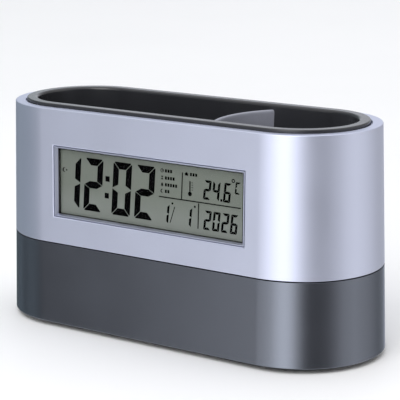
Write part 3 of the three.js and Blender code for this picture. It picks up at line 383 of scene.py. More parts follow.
materials = {
    "silver_shell": silver_paint("silver_paint", 1.0, 45, (0.39, 0.42), 0.05),
    "silver_frame": silver_paint("silver_frame_paint", FRAME_SHADE, 60, (0.36, 0.42), 0.04),
    # Painted shade: a darker copy of the silver paint for the lower slope of the window frame
    "sill_painted_shade": silver_paint("sill_painted_shade_paint", SILL_SHADE, 60, (0.36, 0.42), 0.04),
    "charcoal_base": charcoal_paint("charcoal_paint"),
    "charcoal_door": charcoal_paint("charcoal_door_paint"),
    "charcoal_cover": surface("charcoal_plastic", (0.013, 0.014, 0.016), 0.08, 60, 1500, (0.5, 0.6), 0.2,
                              0.03, specular=0.15),
    "tray_black": surface("tray_plastic", (0.026, 0.027, 0.031), 0.08, 55, 1400, (0.17, 0.23), 0.06, 0.015),
    # Painted reflection: the partition is the tray's dark plastic, given a lighter grey for the light it
    # mirrors
    "partition_painted_reflection": surface("partition_painted_reflection_plastic", (0.3, 0.31, 0.37), 0.06, 55, 1400, (0.4, 0.48), 0.12),
    # Painted shade: dark grey on the frame's walls round the pane, behind the bevel
    "painted_recess_shade": surface("painted_recess_shade", (0.045, 0.045, 0.048), 0.1, 120, 2200, (0.6, 0.7)),
    # Ink of the figures, also used for the dark border painted as the recess's shade round the display ground
    "figure_ink_and_edge_shade": surface("figure_ink_and_edge_shade", (0.002, 0.002, 0.0024), 0.1, 160, 2600, (0.5, 0.6), specular=0.0),
    "cell_band": surface("cell_band", (0.5, 0.52, 0.55), 0.04, 140, 2200, (0.25, 0.35)),
    "holder_plastic": surface("holder_plastic", (0.66, 0.67, 0.64), 0.04, 80, 1800, (0.5, 0.6)),
    "contact_rubber": surface("contact_rubber", (0.07, 0.06, 0.085), 0.1, 150, 2200, (0.7, 0.85), 0.2),
    "resin_black": surface("resin_black", (0.008, 0.008, 0.009), 0.1, 200, 2600, (0.25, 0.4)),
    "tinned_metal": surface("tinned_metal", (0.62, 0.63, 0.64), 0.06, 180, 2600, (0.22, 0.34), metal=1.0),
    "ceramic_tan": surface("ceramic_tan", (0.48, 0.33, 0.16), 0.08, 300, 3600, (0.5, 0.6)),
    "cable_grey": surface("cable_grey", (0.38, 0.4, 0.43), 0.05, 120, 2600, (0.45, 0.55)),
    "spring_steel": surface("spring_steel", (0.5, 0.51, 0.53), 0.06, 250, 3000, (0.2, 0.32), metal=1.0),
    "lead_red": surface("lead_red", (0.42, 0.02, 0.022), 0.08, 150, 2400, (0.4, 0.5)),
    "lead_black": surface("lead_black", (0.012, 0.012, 0.014), 0.08, 150, 2400, (0.4, 0.5)),
    "sounder_brass": surface("sounder_brass", (0.58, 0.38, 0.1), 0.07, 160, 2400, (0.24, 0.36), metal=1.0),
    "ceramic_white": surface("ceramic_white", (0.74, 0.72, 0.66), 0.04, 160, 2600, (0.45, 0.55)),
    "screw_steel": surface("screw_steel", (0.33, 0.335, 0.35), 0.08, 300, 3000, (0.28, 0.4), metal=1.0),
    "foot_rubber": surface("foot_rubber", (0.014, 0.014, 0.016), 0.1, 120, 1600, (0.75, 0.88), 0.3, 0.04),
    "button_charcoal": surface("button_plastic", (0.035, 0.037, 0.042), 0.06, 120, 2000, (0.38, 0.46)),
    "switch_black": surface("switch_plastic", (0.012, 0.012, 0.013), 0.08, 160, 2200, (0.5, 0.6)),
    "plunger_white": surface("plunger_plastic", (0.68, 0.67, 0.63), 0.04, 160, 2200, (0.4, 0.5)),
}


BOARD_GREENS = (0.018, 0.115, 0.04), (0.028, 0.16, 0.058)
TRACE_GREEN = (0.06, 0.24, 0.085)
TRACE_WIDTH = 0.22
TRACE_LENGTH = 5.2
TRACE_PITCH = 1.3


def make_board_material():
    """Green board with lighter lines of copper under the lacquer."""
    material, tree, shader, place = nodes_of("board_lacquer")
    bricks = tree.nodes.new("ShaderNodeTexBrick")
    bricks.inputs["Scale"].default_value = 1
    bricks.inputs["Mortar Size"].default_value = TRACE_WIDTH * MM
    bricks.inputs["Brick Width"].default_value = TRACE_LENGTH * MM
    bricks.inputs["Row Height"].default_value = TRACE_PITCH * MM
    turn = tree.nodes.new("ShaderNodeMapping")
    turn.inputs["Rotation"].default_value = (math.radians(90), 0, 0)
    tree.links.new(place, turn.inputs["Vector"])
    tree.links.new(turn.outputs["Vector"], bricks.inputs["Vector"])
    cloud = noise(tree, place, 90)
    field = mixed(tree, spread(tree, cloud, 0, 1), *BOARD_GREENS)
    lacquer = mixed(tree, bricks.outputs["Fac"], field, TRACE_GREEN)
    coat(tree, shader, lacquer, spread(tree, cloud, 0.32, 0.44))
    bumped(tree, shader, bricks.outputs["Fac"], 0.2, 0.03)
    return material


# Display ground colours for the lower and the upper part, and the heights where they change; the darker upper
# colour is painted shade
PANEL_LIGHT = (0.19, 0.209, 0.192)
PANEL_DARK = (0.157, 0.175, 0.152)
PANEL_SHADE_SPAN = (-8.0, -1.0)


def make_panel_material():
    """Grey-green display ground, lighter in its lower part, its upper part darkened as painted shade."""
    material, tree, shader, place = nodes_of("panel_ground")
    split = tree.nodes.new("ShaderNodeSeparateXYZ")
    tree.links.new(place, split.inputs["Vector"])
    cloud = noise(tree, place, 40)
    top_shade = spread(tree, split.outputs["Z"], 0, 1, *((WINDOW_Z + height) * MM for height in PANEL_SHADE_SPAN))
    ground = mixed(tree, top_shade, PANEL_LIGHT, PANEL_DARK)
    cloudy = mixed(tree, spread(tree, cloud, 0, 0.15), ground, shaded(PANEL_DARK, 0.9))
    coat(tree, shader, cloudy, spread(tree, cloud, 0.34, 0.42))
    bumped(tree, shader, noise(tree, place, 3600), 0.06, 0.01)
    shader.inputs["Specular IOR Level"].default_value = 0.15
    return material


LENS_FACING = 0.002
LENS_GRAZING = 0.2
LENS_TURN = (0.3, 0.95)
LENS_GREYS = (0.88, 0.9, 0.9), (0.95, 0.96, 0.96)


def make_lens_material():
    """Clear pane that mirrors more at a flat angle, with faint smears in its gloss."""
    material, tree, shader, place = nodes_of("clear_pane")
    smear = noise(tree, place, 60)
    edge = tree.nodes.new("ShaderNodeLayerWeight")
    edge.inputs["Blend"].default_value = EVEN_SHARE
    alpha = spread(tree, edge.outputs["Facing"], LENS_FACING, LENS_GRAZING, *LENS_TURN)
    tree.links.new(alpha, shader.inputs["Alpha"])
    coat(tree, shader, mixed(tree, smear, *LENS_GREYS), spread(tree, smear, 0.06, 0.12))
    shader.inputs["Metallic"].default_value = 1.0
    return material


CELL_BLUES = (0.035, 0.13, 0.34), (0.045, 0.16, 0.4)


def make_cell_material():
    """Cell jacket: a blue film with slight clouds."""
    material, tree, shader, place = nodes_of("cell_film")
    cloud = noise(tree, place, 120)
    film = mixed(tree, spread(tree, cloud, 0, 1), *CELL_BLUES)
    coat(tree, shader, film, spread(tree, cloud, 0.22, 0.32))
    bumped(tree, shader, noise(tree, place, 1500), 0.05, 0.01)
    return material


materials["board_green"] = make_board_material()
materials["panel_glass"] = make_panel_material()
materials["clear_lens"] = make_lens_material()
materials["cell_jacket"] = make_cell_material()


# Pieces

def add_piece(name, shape, body, slot, replaced=(), chooser=None, extra=()):
    """A finished piece that rides on a body.

    The chooser gives each face its material from its middle in millimetres and its normal.
    """
    mesh = tidy_mesh(name, shape, MM)
    for key in (slot, *extra):
        mesh.materials.append(materials[key])
    for face in mesh.polygons:
        face.use_smooth = True
        if chooser:
            face.material_index = chooser(face.center / MM, face.normal)
    mesh.set_sharp_from_angle(angle=math.radians(SHARP_DEG))
    piece = add_object(name, mesh)
    even = piece.modifiers.new("even_normals", "WEIGHTED_NORMAL")
    even.keep_sharp = True
    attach(piece, body)
    if replaced:
        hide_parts(*replaced)
    return piece


def flared(depth, radius):
    """Growths and depths of a cutter whose mouth opens out into a rounded edge, from outside inwards."""
    edge = [(radius * (1 - math.sin(t)), radius * (1 - math.cos(t))) for t in quarter_turn(EDGE_STEPS)]
    return [(radius, -BEYOND), *edge, (0.0, depth)]


WINDOW_HALF = (44.75, 14.1)
WINDOW_EDGE = 0.55
HOLE_RADIUS = 3.75
HOLE_EDGE = 0.3
BUTTON_XS = {"mode": -19.5, "set": -6.5, "up": 6.5, "down": 19.5}
POST_RADIUS = 2.5
PILOT_RADIUS = 1.0
BOARD_DEPTH = 5.7
FRONT_POST_X = 53.05
FRONT_POSTS = [(FRONT_POST_X * x, v) for x in (1, -1) for v in (7.0, -16.0)]
REAR_POST_X = 27.5
REAR_POST_DEPTH = 5.8


def tube(outer, inner, low, high):
    return turned([(outer, low), (outer, high), (inner, high), (inner, low)], POST_SIDES, True)


def make_upper_shell():
    edge_z = SEAM_Z - SEAM_DROP
    rim = face_inset(RIM_Z) + RIM_WIDTH
    ledge_z = FLANGE_Z - LEDGE
    ledge = tray_inset(ledge_z) - TRAY_WALL - HOLE_GAP
    gusset_z = ledge_z - (ledge - face_inset(ledge_z) - SHELL_WALL)
    ring = racetrack([
        *fillet(face_inset(edge_z) + SEAM_ROUND, edge_z + SEAM_ROUND, SEAM_ROUND, -90, 0),
        *fillet(face_inset(RIM_Z) + TOP_ROUND, RIM_Z - TOP_ROUND, TOP_ROUND, 0, 90),
        *fillet(rim - RIM_ROUND, RIM_Z - RIM_ROUND, RIM_ROUND, 90, 180),
        (rim, FLANGE_Z),
        (ledge, FLANGE_Z),
        (ledge, ledge_z),
        (face_inset(gusset_z) + SHELL_WALL, gusset_z),
        (face_inset(edge_z) + SHELL_WALL, edge_z),
    ], True)
    through = SHELL_WALL + BEYOND
    wide, tall = WINDOW_HALF
    window = frames([(wide + grow, tall + grow, d) for grow, d in flared(through, WINDOW_EDGE)], False)
    hole = turned([(HOLE_RADIUS + grow, -d) for grow, d in flared(through, HOLE_EDGE)])
    holes = [moved(hole, REAR @ Matrix.Translation((x, 0, 0))) for x in BUTTON_XS.values()]
    face_on = FRONT @ Matrix.Rotation(math.radians(-90), 4, "X")
    posts = [moved(tube(POST_RADIUS, PILOT_RADIUS, SHELL_WALL / 2, BOARD_DEPTH),
                   face_on @ Matrix.Translation((x, -v, 0))) for x, v in FRONT_POSTS]
    rear_posts = [moved(tube(POST_RADIUS, PILOT_RADIUS, -REAR_POST_DEPTH, -SHELL_WALL / 2),
                        REAR @ Matrix.Translation((x, 0, 0))) for x in (REAR_POST_X, -REAR_POST_X)]
    return join(cut(ring, moved(window, FRONT), *holes), *posts, *rear_posts)


SPIGOT_HEIGHT = 4.0
SPIGOT_WALL = 1.6
SPIGOT_OUTER = SHELL_WALL + 0.2
CASE_WALL = 1.2
CASE_END_X = 25.3
CASE_BACK_Y = 17.543
CELL_Y = 23.293
CELL_ZS = (21.25, 10.25)
CELL_RADIUS = 5.25
CONTACT_HOLE_HALF = 1.45
TONGUE_XS = (15.0, -15.0)
TONGUE_HALF = 3.0
NOTCH_DEPTH = 3.05
LATCH_HALF = 6.0
LATCH_TOP = 29.6
DOOR_GAP = 0.3


def make_base_ring():
    inner = SPIGOT_OUTER + SPIGOT_WALL
    spigot_top = SEAM_Z + SPIGOT_HEIGHT
    shoulder = SEAM_Z - SPIGOT_HEIGHT / 2
    start = shoulder - (inner - BASE_WALL)
    edge_z = SEAM_Z - SEAM_DROP
    groove_z = edge_z - SEAM_GAP
    return racetrack([
        *fillet(face_inset(BASE_Z) + FOOT_ROUND, BASE_Z + FOOT_ROUND, FOOT_ROUND, -90, 0),
        *fillet(face_inset(groove_z) + EDGE_ROUND, groove_z - EDGE_ROUND, EDGE_ROUND, 0, 90),
        (face_inset(groove_z) + SEAM_GAP_DEPTH, groove_z),
        (face_inset(edge_z) + SEAM_GAP_DEPTH, edge_z),
        (face_inset(edge_z) + SPIGOT_OUTER, edge_z),
        (face_inset(spigot_top) + SPIGOT_OUTER, spigot_top),
        (face_inset(spigot_top) + inner, spigot_top),
        (face_inset(shoulder) + inner, shoulder),
        (face_inset(start) + BASE_WALL, start),
        (face_inset(BASE_Z) + BASE_WALL, BASE_Z),
    ], True)


def make_base_shell(ring):
    outside = BODY_RADIUS + BEYOND
    case = box(-CASE_END_X - CASE_WALL, CASE_END_X + CASE_WALL, CASE_BACK_Y - CASE_WALL,
               rear_inner_y(DOOR_Z) + BASE_WALL / 2, DOOR_Z - CASE_WALL, CASE_TOP_Z)
    cavity = box(-CASE_END_X, CASE_END_X, CASE_BACK_Y, outside, DOOR_Z, DOOR_TOP_Z)
    latch = box(-LATCH_HALF - DOOR_GAP, LATCH_HALF + DOOR_GAP, CASE_BACK_Y + CELL_RADIUS, outside,
                DOOR_TOP_Z - BEYOND, LATCH_TOP)
    notch_half = TONGUE_HALF + DOOR_GAP
    notches = [box(x - notch_half, x + notch_half, rear_inner_y(BASE_Z) - NOTCH_DEPTH,
                   rear_inner_y(DOOR_Z) + SEAT_GAP, BASE_Z, DOOR_Z + BEYOND) for x in TONGUE_XS]
    hole = CONTACT_HOLE_HALF
    holes = [box(CASE_END_X - BEYOND, CASE_END_X + CASE_WALL + BEYOND, CELL_Y - hole, CELL_Y + hole,
                 z - hole, z + hole) for z in CELL_ZS]
    shell = cut(join(ring, case), cavity)
    shell = cut(shell, latch)
    return cut(shell, *notches, *holes)


PAINT_DEPTH = 0.6
INWARD_TILT = 0.1


def base_part(middle, normal):
    """Second material for the unpainted faces inside the base."""
    spine = max(-END_X, min(END_X, middle.x))
    inset = BODY_RADIUS - math.hypot(middle.x - spine, middle.y)
    return 1 if inset > face_inset(middle.z) + PAINT_DEPTH else 0


def door_part(middle, normal):
    """Second material for the unpainted faces on the inner side of the door."""
    return 1 if normal.y < -INWARD_TILT or middle.y < rear_inner_y(BASE_Z) else 0


RIDGE_COUNT = 4
RIDGE_HALF = 7.0
RIDGE_PITCH = 2.2
RIDGE_RADIUS = 0.55
RIDGE_SUNK = 0.1
RIDGE_LOW_Z = 18.0
RIDGE_SIDES = 20
RIDGE_END_DEG = (90, 60, 30)
TONGUE_GAP = 0.25
TONGUE_WALL = 0.8
TONGUE_ROOT = 2.0
TONGUE_DROP = 2.0
TONGUE_LAP = 1.0


def make_ridge():
    """Bar with round ends along z, its middle at zero."""
    turns = [math.radians(degrees) for degrees in RIDGE_END_DEG]
    upper = [(RIDGE_RADIUS * math.sin(t), RIDGE_HALF - RIDGE_RADIUS * (1 - math.cos(t))) for t in turns]
    upper.append((TIP_RADIUS, RIDGE_HALF))
    lower = [(radius, -z) for radius, z in reversed(upper)]
    return turned(lower + upper, RIDGE_SIDES)


def make_door(ring):
    outside = BODY_RADIUS + BEYOND
    half = CASE_END_X - DOOR_GAP
    low, high = DOOR_Z + DOOR_GAP, DOOR_TOP_Z - DOOR_GAP
    opening = join(box(-half, half, rear_inner_y(DOOR_TOP_Z), outside, low, high),
                   box(-LATCH_HALF, LATCH_HALF, rear_inner_y(DOOR_TOP_Z), outside, high - BEYOND,
                       LATCH_TOP - DOOR_GAP))
    plate = common(ring, opening)
    behind = rear_inner_y(BASE_Z) - TONGUE_GAP
    back = behind - TONGUE_WALL
    roots = [box(x - TONGUE_HALF, x + TONGUE_HALF, back, behind + BASE_WALL / 2, low, low + TONGUE_ROOT)
             for x in TONGUE_XS]
    tips = [box(x - TONGUE_HALF, x + TONGUE_HALF, back, behind, low - TONGUE_DROP, low + TONGUE_LAP)
            for x in TONGUE_XS]
    plate = join(join(plate, *roots), *tips)
    along_x = Matrix.Rotation(math.radians(90), 4, "Y")
    ridges = []
    for k in range(RIDGE_COUNT):
        z = RIDGE_LOW_Z + k * RIDGE_PITCH
        y = BODY_RADIUS - face_inset(z) - RIDGE_SUNK
        ridges.append(moved(make_ridge(), Matrix.Translation((0, y, z)) @ along_x))
    return join(plate, *ridges)


DIVIDER_X = 51.05
DIVIDER_RADIUS = 35.0
DIVIDER_WALL = 1.6
DIVIDER_ROUND = 0.7
CREST_STEPS = 10
ACROSS_TILT = 0.9
PILLAR_RADIUS = 3.6
PILLAR_LAP = 0.9
BORE_RADIUS = 1.4
BORE_TOP_Z = 18.95
BORE_SIDES = 16
SCREW_Y = 9.5
SCREW_SPOTS = [(END_X * x, SCREW_Y * y) for x, y in ((1, 1), (1, -1), (-1, 1), (-1, -1))]
CUP_TOP_Z = 5.5


def make_tray():
    flange = face_inset(RIM_Z) + RIM_WIDTH + FLANGE_GAP
    outer_low = tray_inset(TRAY_Z + TRAY_CORNER) - TRAY_WALL
    tub = racetrack([
        *fillet(outer_low + TRAY_CORNER, TRAY_Z + TRAY_CORNER, TRAY_CORNER, -90, 0),
        (tray_inset(FLANGE_Z) - TRAY_WALL, FLANGE_Z),
        (flange, FLANGE_Z),
        *fillet(flange + FLANGE_ROUND, TOP_Z - FLANGE_ROUND, FLANGE_ROUND, 0, 90),
    ], False)
    inner_low = tray_inset(TRAY_FLOOR_Z + TRAY_CORNER)
    cavity = racetrack([
        *fillet(inner_low + TRAY_CORNER, TRAY_FLOOR_Z + TRAY_CORNER, TRAY_CORNER, -90, 0),
        *fillet(MOUTH_INSET - LIP_ROUND, TOP_Z - LIP_ROUND, LIP_ROUND, 180, 90),
        (MOUTH_INSET - LIP_ROUND, TOP_Z + BEYOND),
    ], False)
    middle = DIVIDER_RADIUS - DIVIDER_WALL / 2
    inner = DIVIDER_RADIUS - DIVIDER_WALL
    shoulder = FLANGE_Z - 2 * DIVIDER_ROUND
    crest = [(middle + DIVIDER_ROUND * math.cos(t), FLANGE_Z - DIVIDER_ROUND + DIVIDER_ROUND * math.sin(t))
             for t in [math.pi * k / CREST_STEPS for k in range(CREST_STEPS + 1)]]
    section = [(DIVIDER_RADIUS, TRAY_Z), (DIVIDER_RADIUS, shoulder), *crest, (inner, shoulder),
               (inner, TRAY_Z)]
    turns = [math.pi / 2 + math.pi * k / DIVIDER_STEPS for k in range(DIVIDER_STEPS + 1)]
    arcs = [[(DIVIDER_X + r * math.cos(t), r * math.sin(t), z) for r, z in section] for t in turns]
    pockets = cut(cavity, swept(arcs, False))
    pillar = rod(PILLAR_RADIUS, CUP_TOP_Z, TRAY_Z + PILLAR_LAP, POST_SIDES)
    bore = rod(BORE_RADIUS, CUP_TOP_Z - BEYOND, BORE_TOP_Z, BORE_SIDES)
    pillars = [at(pillar, x, y, 0) for x, y in SCREW_SPOTS]
    bores = [at(bore, x, y, 0) for x, y in SCREW_SPOTS]
    return cut(join(cut(tub, pockets), *pillars), *bores)


def tray_part(middle, normal):
    """Second material, a lighter grey as painted reflection, for the faces of the partition between the two
    pockets.
    """
    away = Vector((middle.x - DIVIDER_X, middle.y, 0))
    inner = DIVIDER_RADIUS - DIVIDER_WALL
    on_arc = inner - SEAT_GAP < away.length < DIVIDER_RADIUS + SEAT_GAP and away.x < 0
    faces_across = abs(normal.dot(away.normalized())) > ACROSS_TILT
    is_crest = FLANGE_Z - 2 * DIVIDER_ROUND < middle.z < FLANGE_Z + SEAT_GAP
    return 1 if on_arc and middle.z > TRAY_FLOOR_Z and (faces_across or is_crest) else 0


FRAME_HALF = (44.5, 13.85)
FRAME_RECESS = 0.25
FRAME_ROUND = 0.16
FRAME_STEPS = 4
FRAME_LAND = 0.3
SILL_TILT = 0.3
BEVEL_SLACK = 0.01
SIGHT_HALF = (43.45, 13.0)
BEVEL_DEPTH = 1.4
POCKET_HALF = (43.85, 13.4)
PANE_HALF = (43.75, 13.3)
PANE_EDGE = 0.1
PANE_BACK = 2.88
LENS_FRONT = 1.7
FRAME_BACK = 2.9
FRAME_FLANGE = 2.3
FRAME_OUTER_HALF = (47.95, 17.3)


def make_window_frame():
    rings = [(*FRAME_OUTER_HALF, FRAME_BACK), (*FRAME_OUTER_HALF, FRAME_FLANGE), (*FRAME_HALF, FRAME_FLANGE)]
    wide, tall = FRAME_HALF
    for angle in quarter_turn(FRAME_STEPS):
        inset = FRAME_ROUND * (1 - math.cos(angle))
        rings.append((wide - inset, tall - inset, FRAME_RECESS + FRAME_ROUND * (1 - math.sin(angle))))
    rings += [(wide - FRAME_LAND, tall - FRAME_LAND, FRAME_RECESS), (*SIGHT_HALF, BEVEL_DEPTH),
              (*SIGHT_HALF, LENS_FRONT), (*POCKET_HALF, LENS_FRONT), (*POCKET_HALF, FRAME_BACK)]
    return moved(frames(rings, True), FRONT)


def make_pane():
    """Flat pane with its edges eased."""
    wide, tall = PANE_HALF
    small = (wide - PANE_EDGE, tall - PANE_EDGE)
    rings = [(*small, LENS_FRONT), (*PANE_HALF, LENS_FRONT + PANE_EDGE),
             (*PANE_HALF, PANE_BACK - PANE_EDGE), (*small, PANE_BACK)]
    return moved(frames(rings, False), FRONT)


def frame_part(middle, normal):
    """Second material, painted shade, for the faces round the pane behind the bevel, and a third, a darker
    silver as painted shade, for the lower slope.
    """
    local = FRONT.inverted() @ middle
    inside = abs(local.x) < FRAME_HALF[0] - FRAME_LAND and abs(local.z) < FRAME_HALF[1] - FRAME_LAND
    if inside and local.y > BEVEL_DEPTH - BEVEL_SLACK:
        return 1
    # The lower slope gets the darker copy of the silver paint, as painted shade
    return 2 if local.z < -SIGHT_HALF[1] and normal.z > SILL_TILT else 0


BUTTON_RADIUS = 3.5
BUTTON_PROUD = 1.0
BUTTON_ROUND = 0.45
BUTTON_DISH = 0.35
BUTTON_STEPS = 6
DISH_MARGIN = 0.9
DISH_PITCH = 0.5
DISH_STEPS = 5
COLLAR_WIDTH = 0.9
COLLAR_LOW, COLLAR_HIGH = -3.3, -2.5


def make_button():
    """Cap with a rounded shoulder and a shallow dish, its collar behind the shell wall."""
    dish = [(BUTTON_RADIUS - DISH_MARGIN - k * DISH_PITCH,
             BUTTON_PROUD - BUTTON_DISH * (k / DISH_STEPS) ** 0.5) for k in range(DISH_STEPS + 1)]
    shoulder = [(BUTTON_RADIUS - BUTTON_ROUND + BUTTON_ROUND * math.cos(t),
                 BUTTON_PROUD - BUTTON_ROUND + BUTTON_ROUND * math.sin(t))
                for t in quarter_turn(BUTTON_STEPS)]
    collar = BUTTON_RADIUS + COLLAR_WIDTH
    return turned([(TIP_RADIUS, COLLAR_LOW), (collar, COLLAR_LOW), (collar, COLLAR_HIGH),
                   (BUTTON_RADIUS, COLLAR_HIGH), *shoulder, *dish, (TIP_RADIUS, BUTTON_PROUD - BUTTON_DISH)])


FOOT_RADIUS = 4.5
FOOT_EDGE = [(3.9, 0), (4.2, 0.05), (4.4, 0.17), (FOOT_RADIUS, 0.35)]
FOOT_OFFSET = (12.0, 4.5)


def make_foot():
    """Rubber pad with a rounded lower edge."""
    return turned([(TIP_RADIUS, 0), *FOOT_EDGE, (FOOT_RADIUS, COVER_Z), (TIP_RADIUS, COVER_Z)])


SCREW_SEAT_Z = 4.0
HEAD_RADIUS = 2.8
HEAD_HEIGHT = 1.8
CROWN_HEIGHT = 0.9
CROWN_STEPS = 6
SHANK_RADIUS = 1.3
SHANK_LENGTH = 12.7
SCREW_LENGTH = 14.0
SCREW_SIDES = 32
CROSS_HALF = 1.6
CROSS_SLOT_HALF = 0.3
CROSS_LOW, CROSS_HIGH = -3.0, -0.9


def make_screw():
    """Pan head with a cross recess, pointing up, the underside of its head at zero."""
    crown = [(HEAD_RADIUS * math.sin(t), -HEAD_HEIGHT + CROWN_HEIGHT * (1 - math.cos(t)))
             for t in quarter_turn(CROWN_STEPS)[1:]]
    body = turned([(TIP_RADIUS, -HEAD_HEIGHT), *crown, (HEAD_RADIUS, 0), (SHANK_RADIUS, 0),
                   (SHANK_RADIUS, SHANK_LENGTH), (TIP_RADIUS, SCREW_LENGTH)], SCREW_SIDES)
    arms = [box(-x, x, -y, y, CROSS_LOW, CROSS_HIGH)
            for x, y in ((CROSS_HALF, CROSS_SLOT_HALF), (CROSS_SLOT_HALF, CROSS_HALF))]
    return cut(body, *arms)


CELL_HALF = 22.25
CELL_SHOULDER = 21.05
CELL_BAND_X = 14.0
CELL_TIP_X = 21.0
CELL_END_TILT = 0.9
# Radii, and heights above the flat end, the shoulder and the tip of a cell
CELL_FLAT_END = [(4.4, 0), (4.4, 0.12), (4.85, 0.12), (5.15, 0.25), (CELL_RADIUS, 0.5)]
CELL_NECK = [(CELL_RADIUS, -0.5), (5.15, -0.15), (4.85, 0), (1.95, 0), (1.9, 0.1)]
CELL_TIP = [(1.9, -0.25), (1.65, 0)]


def make_cell():
    """Dry cell standing on its flat end, its middle at zero."""
    flat_end = [(radius, top_shade - CELL_HALF) for radius, top_shade in CELL_FLAT_END]
    neck = [(radius, top_shade + CELL_SHOULDER) for radius, top_shade in CELL_NECK]
    tip = [(radius, top_shade + CELL_HALF) for radius, top_shade in CELL_TIP]
    return turned([(TIP_RADIUS, -CELL_HALF), *flat_end, (CELL_RADIUS, CELL_BAND_X), *neck, *tip,
                   (TIP_RADIUS, CELL_HALF)])


SPRING_TURNS = 4.5
SPRING_STEPS = 180
SPRING_LENGTH = 4.8
SPRING_WIRE = 0.25
SPRING_RADIUS = 3.0
SPRING_TAPER = 0.7
WIRE_SIDES = 10


def make_spring():
    """Coil that narrows a little from its plate to the cell."""
    sections = []
    for k in range(SPRING_STEPS + 1):
        share = k / SPRING_STEPS
        turn = 2 * math.pi * SPRING_TURNS * share
        radius = SPRING_RADIUS - SPRING_TAPER * share
        along = SPRING_WIRE + (SPRING_LENGTH - 2 * SPRING_WIRE) * share
        wire = [(along + SPRING_WIRE * math.cos(a), radius + SPRING_WIRE * math.sin(a))
                for a in full_turn(WIRE_SIDES)]
        sections.append([(x, away * math.cos(turn), away * math.sin(turn)) for x, away in wire])
    return swept(sections, False)


# Display figures

FIGURE_DEPTH = (2.93, 2.985)
FIGURE_SLANT = 0.06
SMALL_SLANT = 0.1
SEGMENTS = {"0": "abcdef", "1": "bc", "2": "abged", "4": "fgbc", "6": "afgedc", "C": "afed"}
# Width, height, upright stroke, level stroke, gap and corner cut of each kind of digit
TIME_DIGIT = (8.9, 20.8, 2.7, 2.75, 0.2, 0.7)
ROOM_DIGIT = (3.15, 7.3, 0.95, 0.92, 0.08, 0.22)
UNIT_DIGIT = (2.2, 4.5, 0.66, 0.66, 0.06, 0.15)
DATE_DIGIT = (2.9, 7.4, 0.95, 0.9, 0.08, 0.22)
YEAR_DIGIT = (3.1, 7.3, 0.95, 0.92, 0.08, 0.22)
ROUND_SIGN_STEPS = 20
DOT_STEPS = 10
DIAMOND_STEPS = 4


def mirrored(points, width=None):
    """Polygon turned over left to right about a width, or else top to bottom."""
    flipped = [(width - x, v) for x, v in points] if width is not None else [(x, -v) for x, v in points]
    return flipped[::-1]


def digit(sign, left, middle, size, slant=SMALL_SLANT):
    """Seven segment figure. Across and tall are the widths of its upright and level strokes."""
    width, height, across, tall, gap, chamfer = size
    top = height / 2
    a = [(chamfer, top), (chamfer / 2 + gap, top - chamfer / 2), (across + gap, top - tall),
         (width - across - gap, top - tall), (width - chamfer / 2 - gap, top - chamfer / 2),
         (width - chamfer, top)]
    f = [(0, top - chamfer), (0, gap), (across, tall / 2 + gap), (across, top - tall - gap),
         (chamfer / 2, top - chamfer / 2 - gap)]
    g = [(gap, 0), (across, -tall / 2), (width - across, -tall / 2), (width - gap, 0),
         (width - across, tall / 2), (across, tall / 2)]
    parts = {"a": a, "f": f, "g": g, "d": mirrored(a), "e": mirrored(f), "b": mirrored(f, width)}
    parts["c"] = mirrored(parts["b"])
    return [[(left + x + slant * v, middle + v) for x, v in parts[key]] for key in SEGMENTS[sign]]


def block(x0, x1, v0, v1):
    return [(x0, v0), (x1, v0), (x1, v1), (x0, v1)]


def disc(x, v, radius, steps=ROUND_SIGN_STEPS):
    return [(x + radius * math.cos(t), v + radius * math.sin(t)) for t in full_turn(steps)]


def hoop(x, v, outer, inner):
    """Ring, as a row of four-sided pieces."""
    rims = [disc(x, v, radius) for radius in (outer, inner)]
    pairs = list(zip(*rims))
    return [[a, b, d, c] for (a, c), (b, d) in zip(pairs, pairs[1:] + pairs[:1])]


CRESCENT_STEPS = 12
CRESCENT_OUTER_DEG = (60, 240)
CRESCENT_INNER_DEG = (280, -200)
CRESCENT_SHIFT = 0.42
CRESCENT_SHARE = 0.88


def arc(x, v, radius, start, span):
    """Points on an arc, from an angle through a span in degrees."""
    turns = [math.radians(start + span * k / CRESCENT_STEPS) for k in range(CRESCENT_STEPS + 1)]
    return [(x + radius * math.cos(t), v + radius * math.sin(t)) for t in turns]


def crescent(x, v, radius):
    """Moon, from an outer arc and a smaller arc shifted to its right."""
    inner = arc(x + CRESCENT_SHIFT * radius, v, CRESCENT_SHARE * radius, *CRESCENT_INNER_DEG)
    return arc(x, v, radius, *CRESCENT_OUTER_DEG) + inner[1:-1]


def stroke(start, end, width):
    """Straight line of a width between two points."""
    along = Vector(end) - Vector(start)
    side = Vector((-along.y, along.x)).normalized() * width / 2
    a, b = Vector(start), Vector(end)
    return [tuple(a - side), tuple(b - side), tuple(b + side), tuple(a + side)]


# Limits of the dark border on the display ground, painted shade of the recess
BORDER_OUTER = (44.4, 13.2)
BORDER_LEFT, BORDER_RIGHT = -43.6, 42.1
BORDER_LOW, BORDER_HIGH = -12.95, 12.4
BLOCK_PITCH = 1.18
BLOCK_WIDTH = 0.82
MODE_X = 5.8
MODE_BLOCK_X = 7.15
MODE_BLOCK_HALF = 0.6
HAND_WIDTH = 0.18
RULE_WIDTH = 0.42
SLASH_WIDTH = 0.3
TICK_PITCH = 0.9
TICK_WIDTH = 0.2


def blocks(left, count, low, high):
    """Row of plain blocks in place of a word."""
    lefts = [left + k * BLOCK_PITCH for k in range(count)]
    return [block(x, x + BLOCK_WIDTH, low, high) for x in lefts]


def painted_edge_shade():
    """Dark border round the display ground, painted shade of the recess along its edges."""
    wide, tall = BORDER_OUTER
    return [block(-wide, BORDER_LEFT, -tall, tall), block(BORDER_RIGHT, wide, -tall, tall),
            block(BORDER_LEFT, BORDER_RIGHT, -tall, BORDER_LOW),
            block(BORDER_LEFT, BORDER_RIGHT, BORDER_HIGH, tall)]


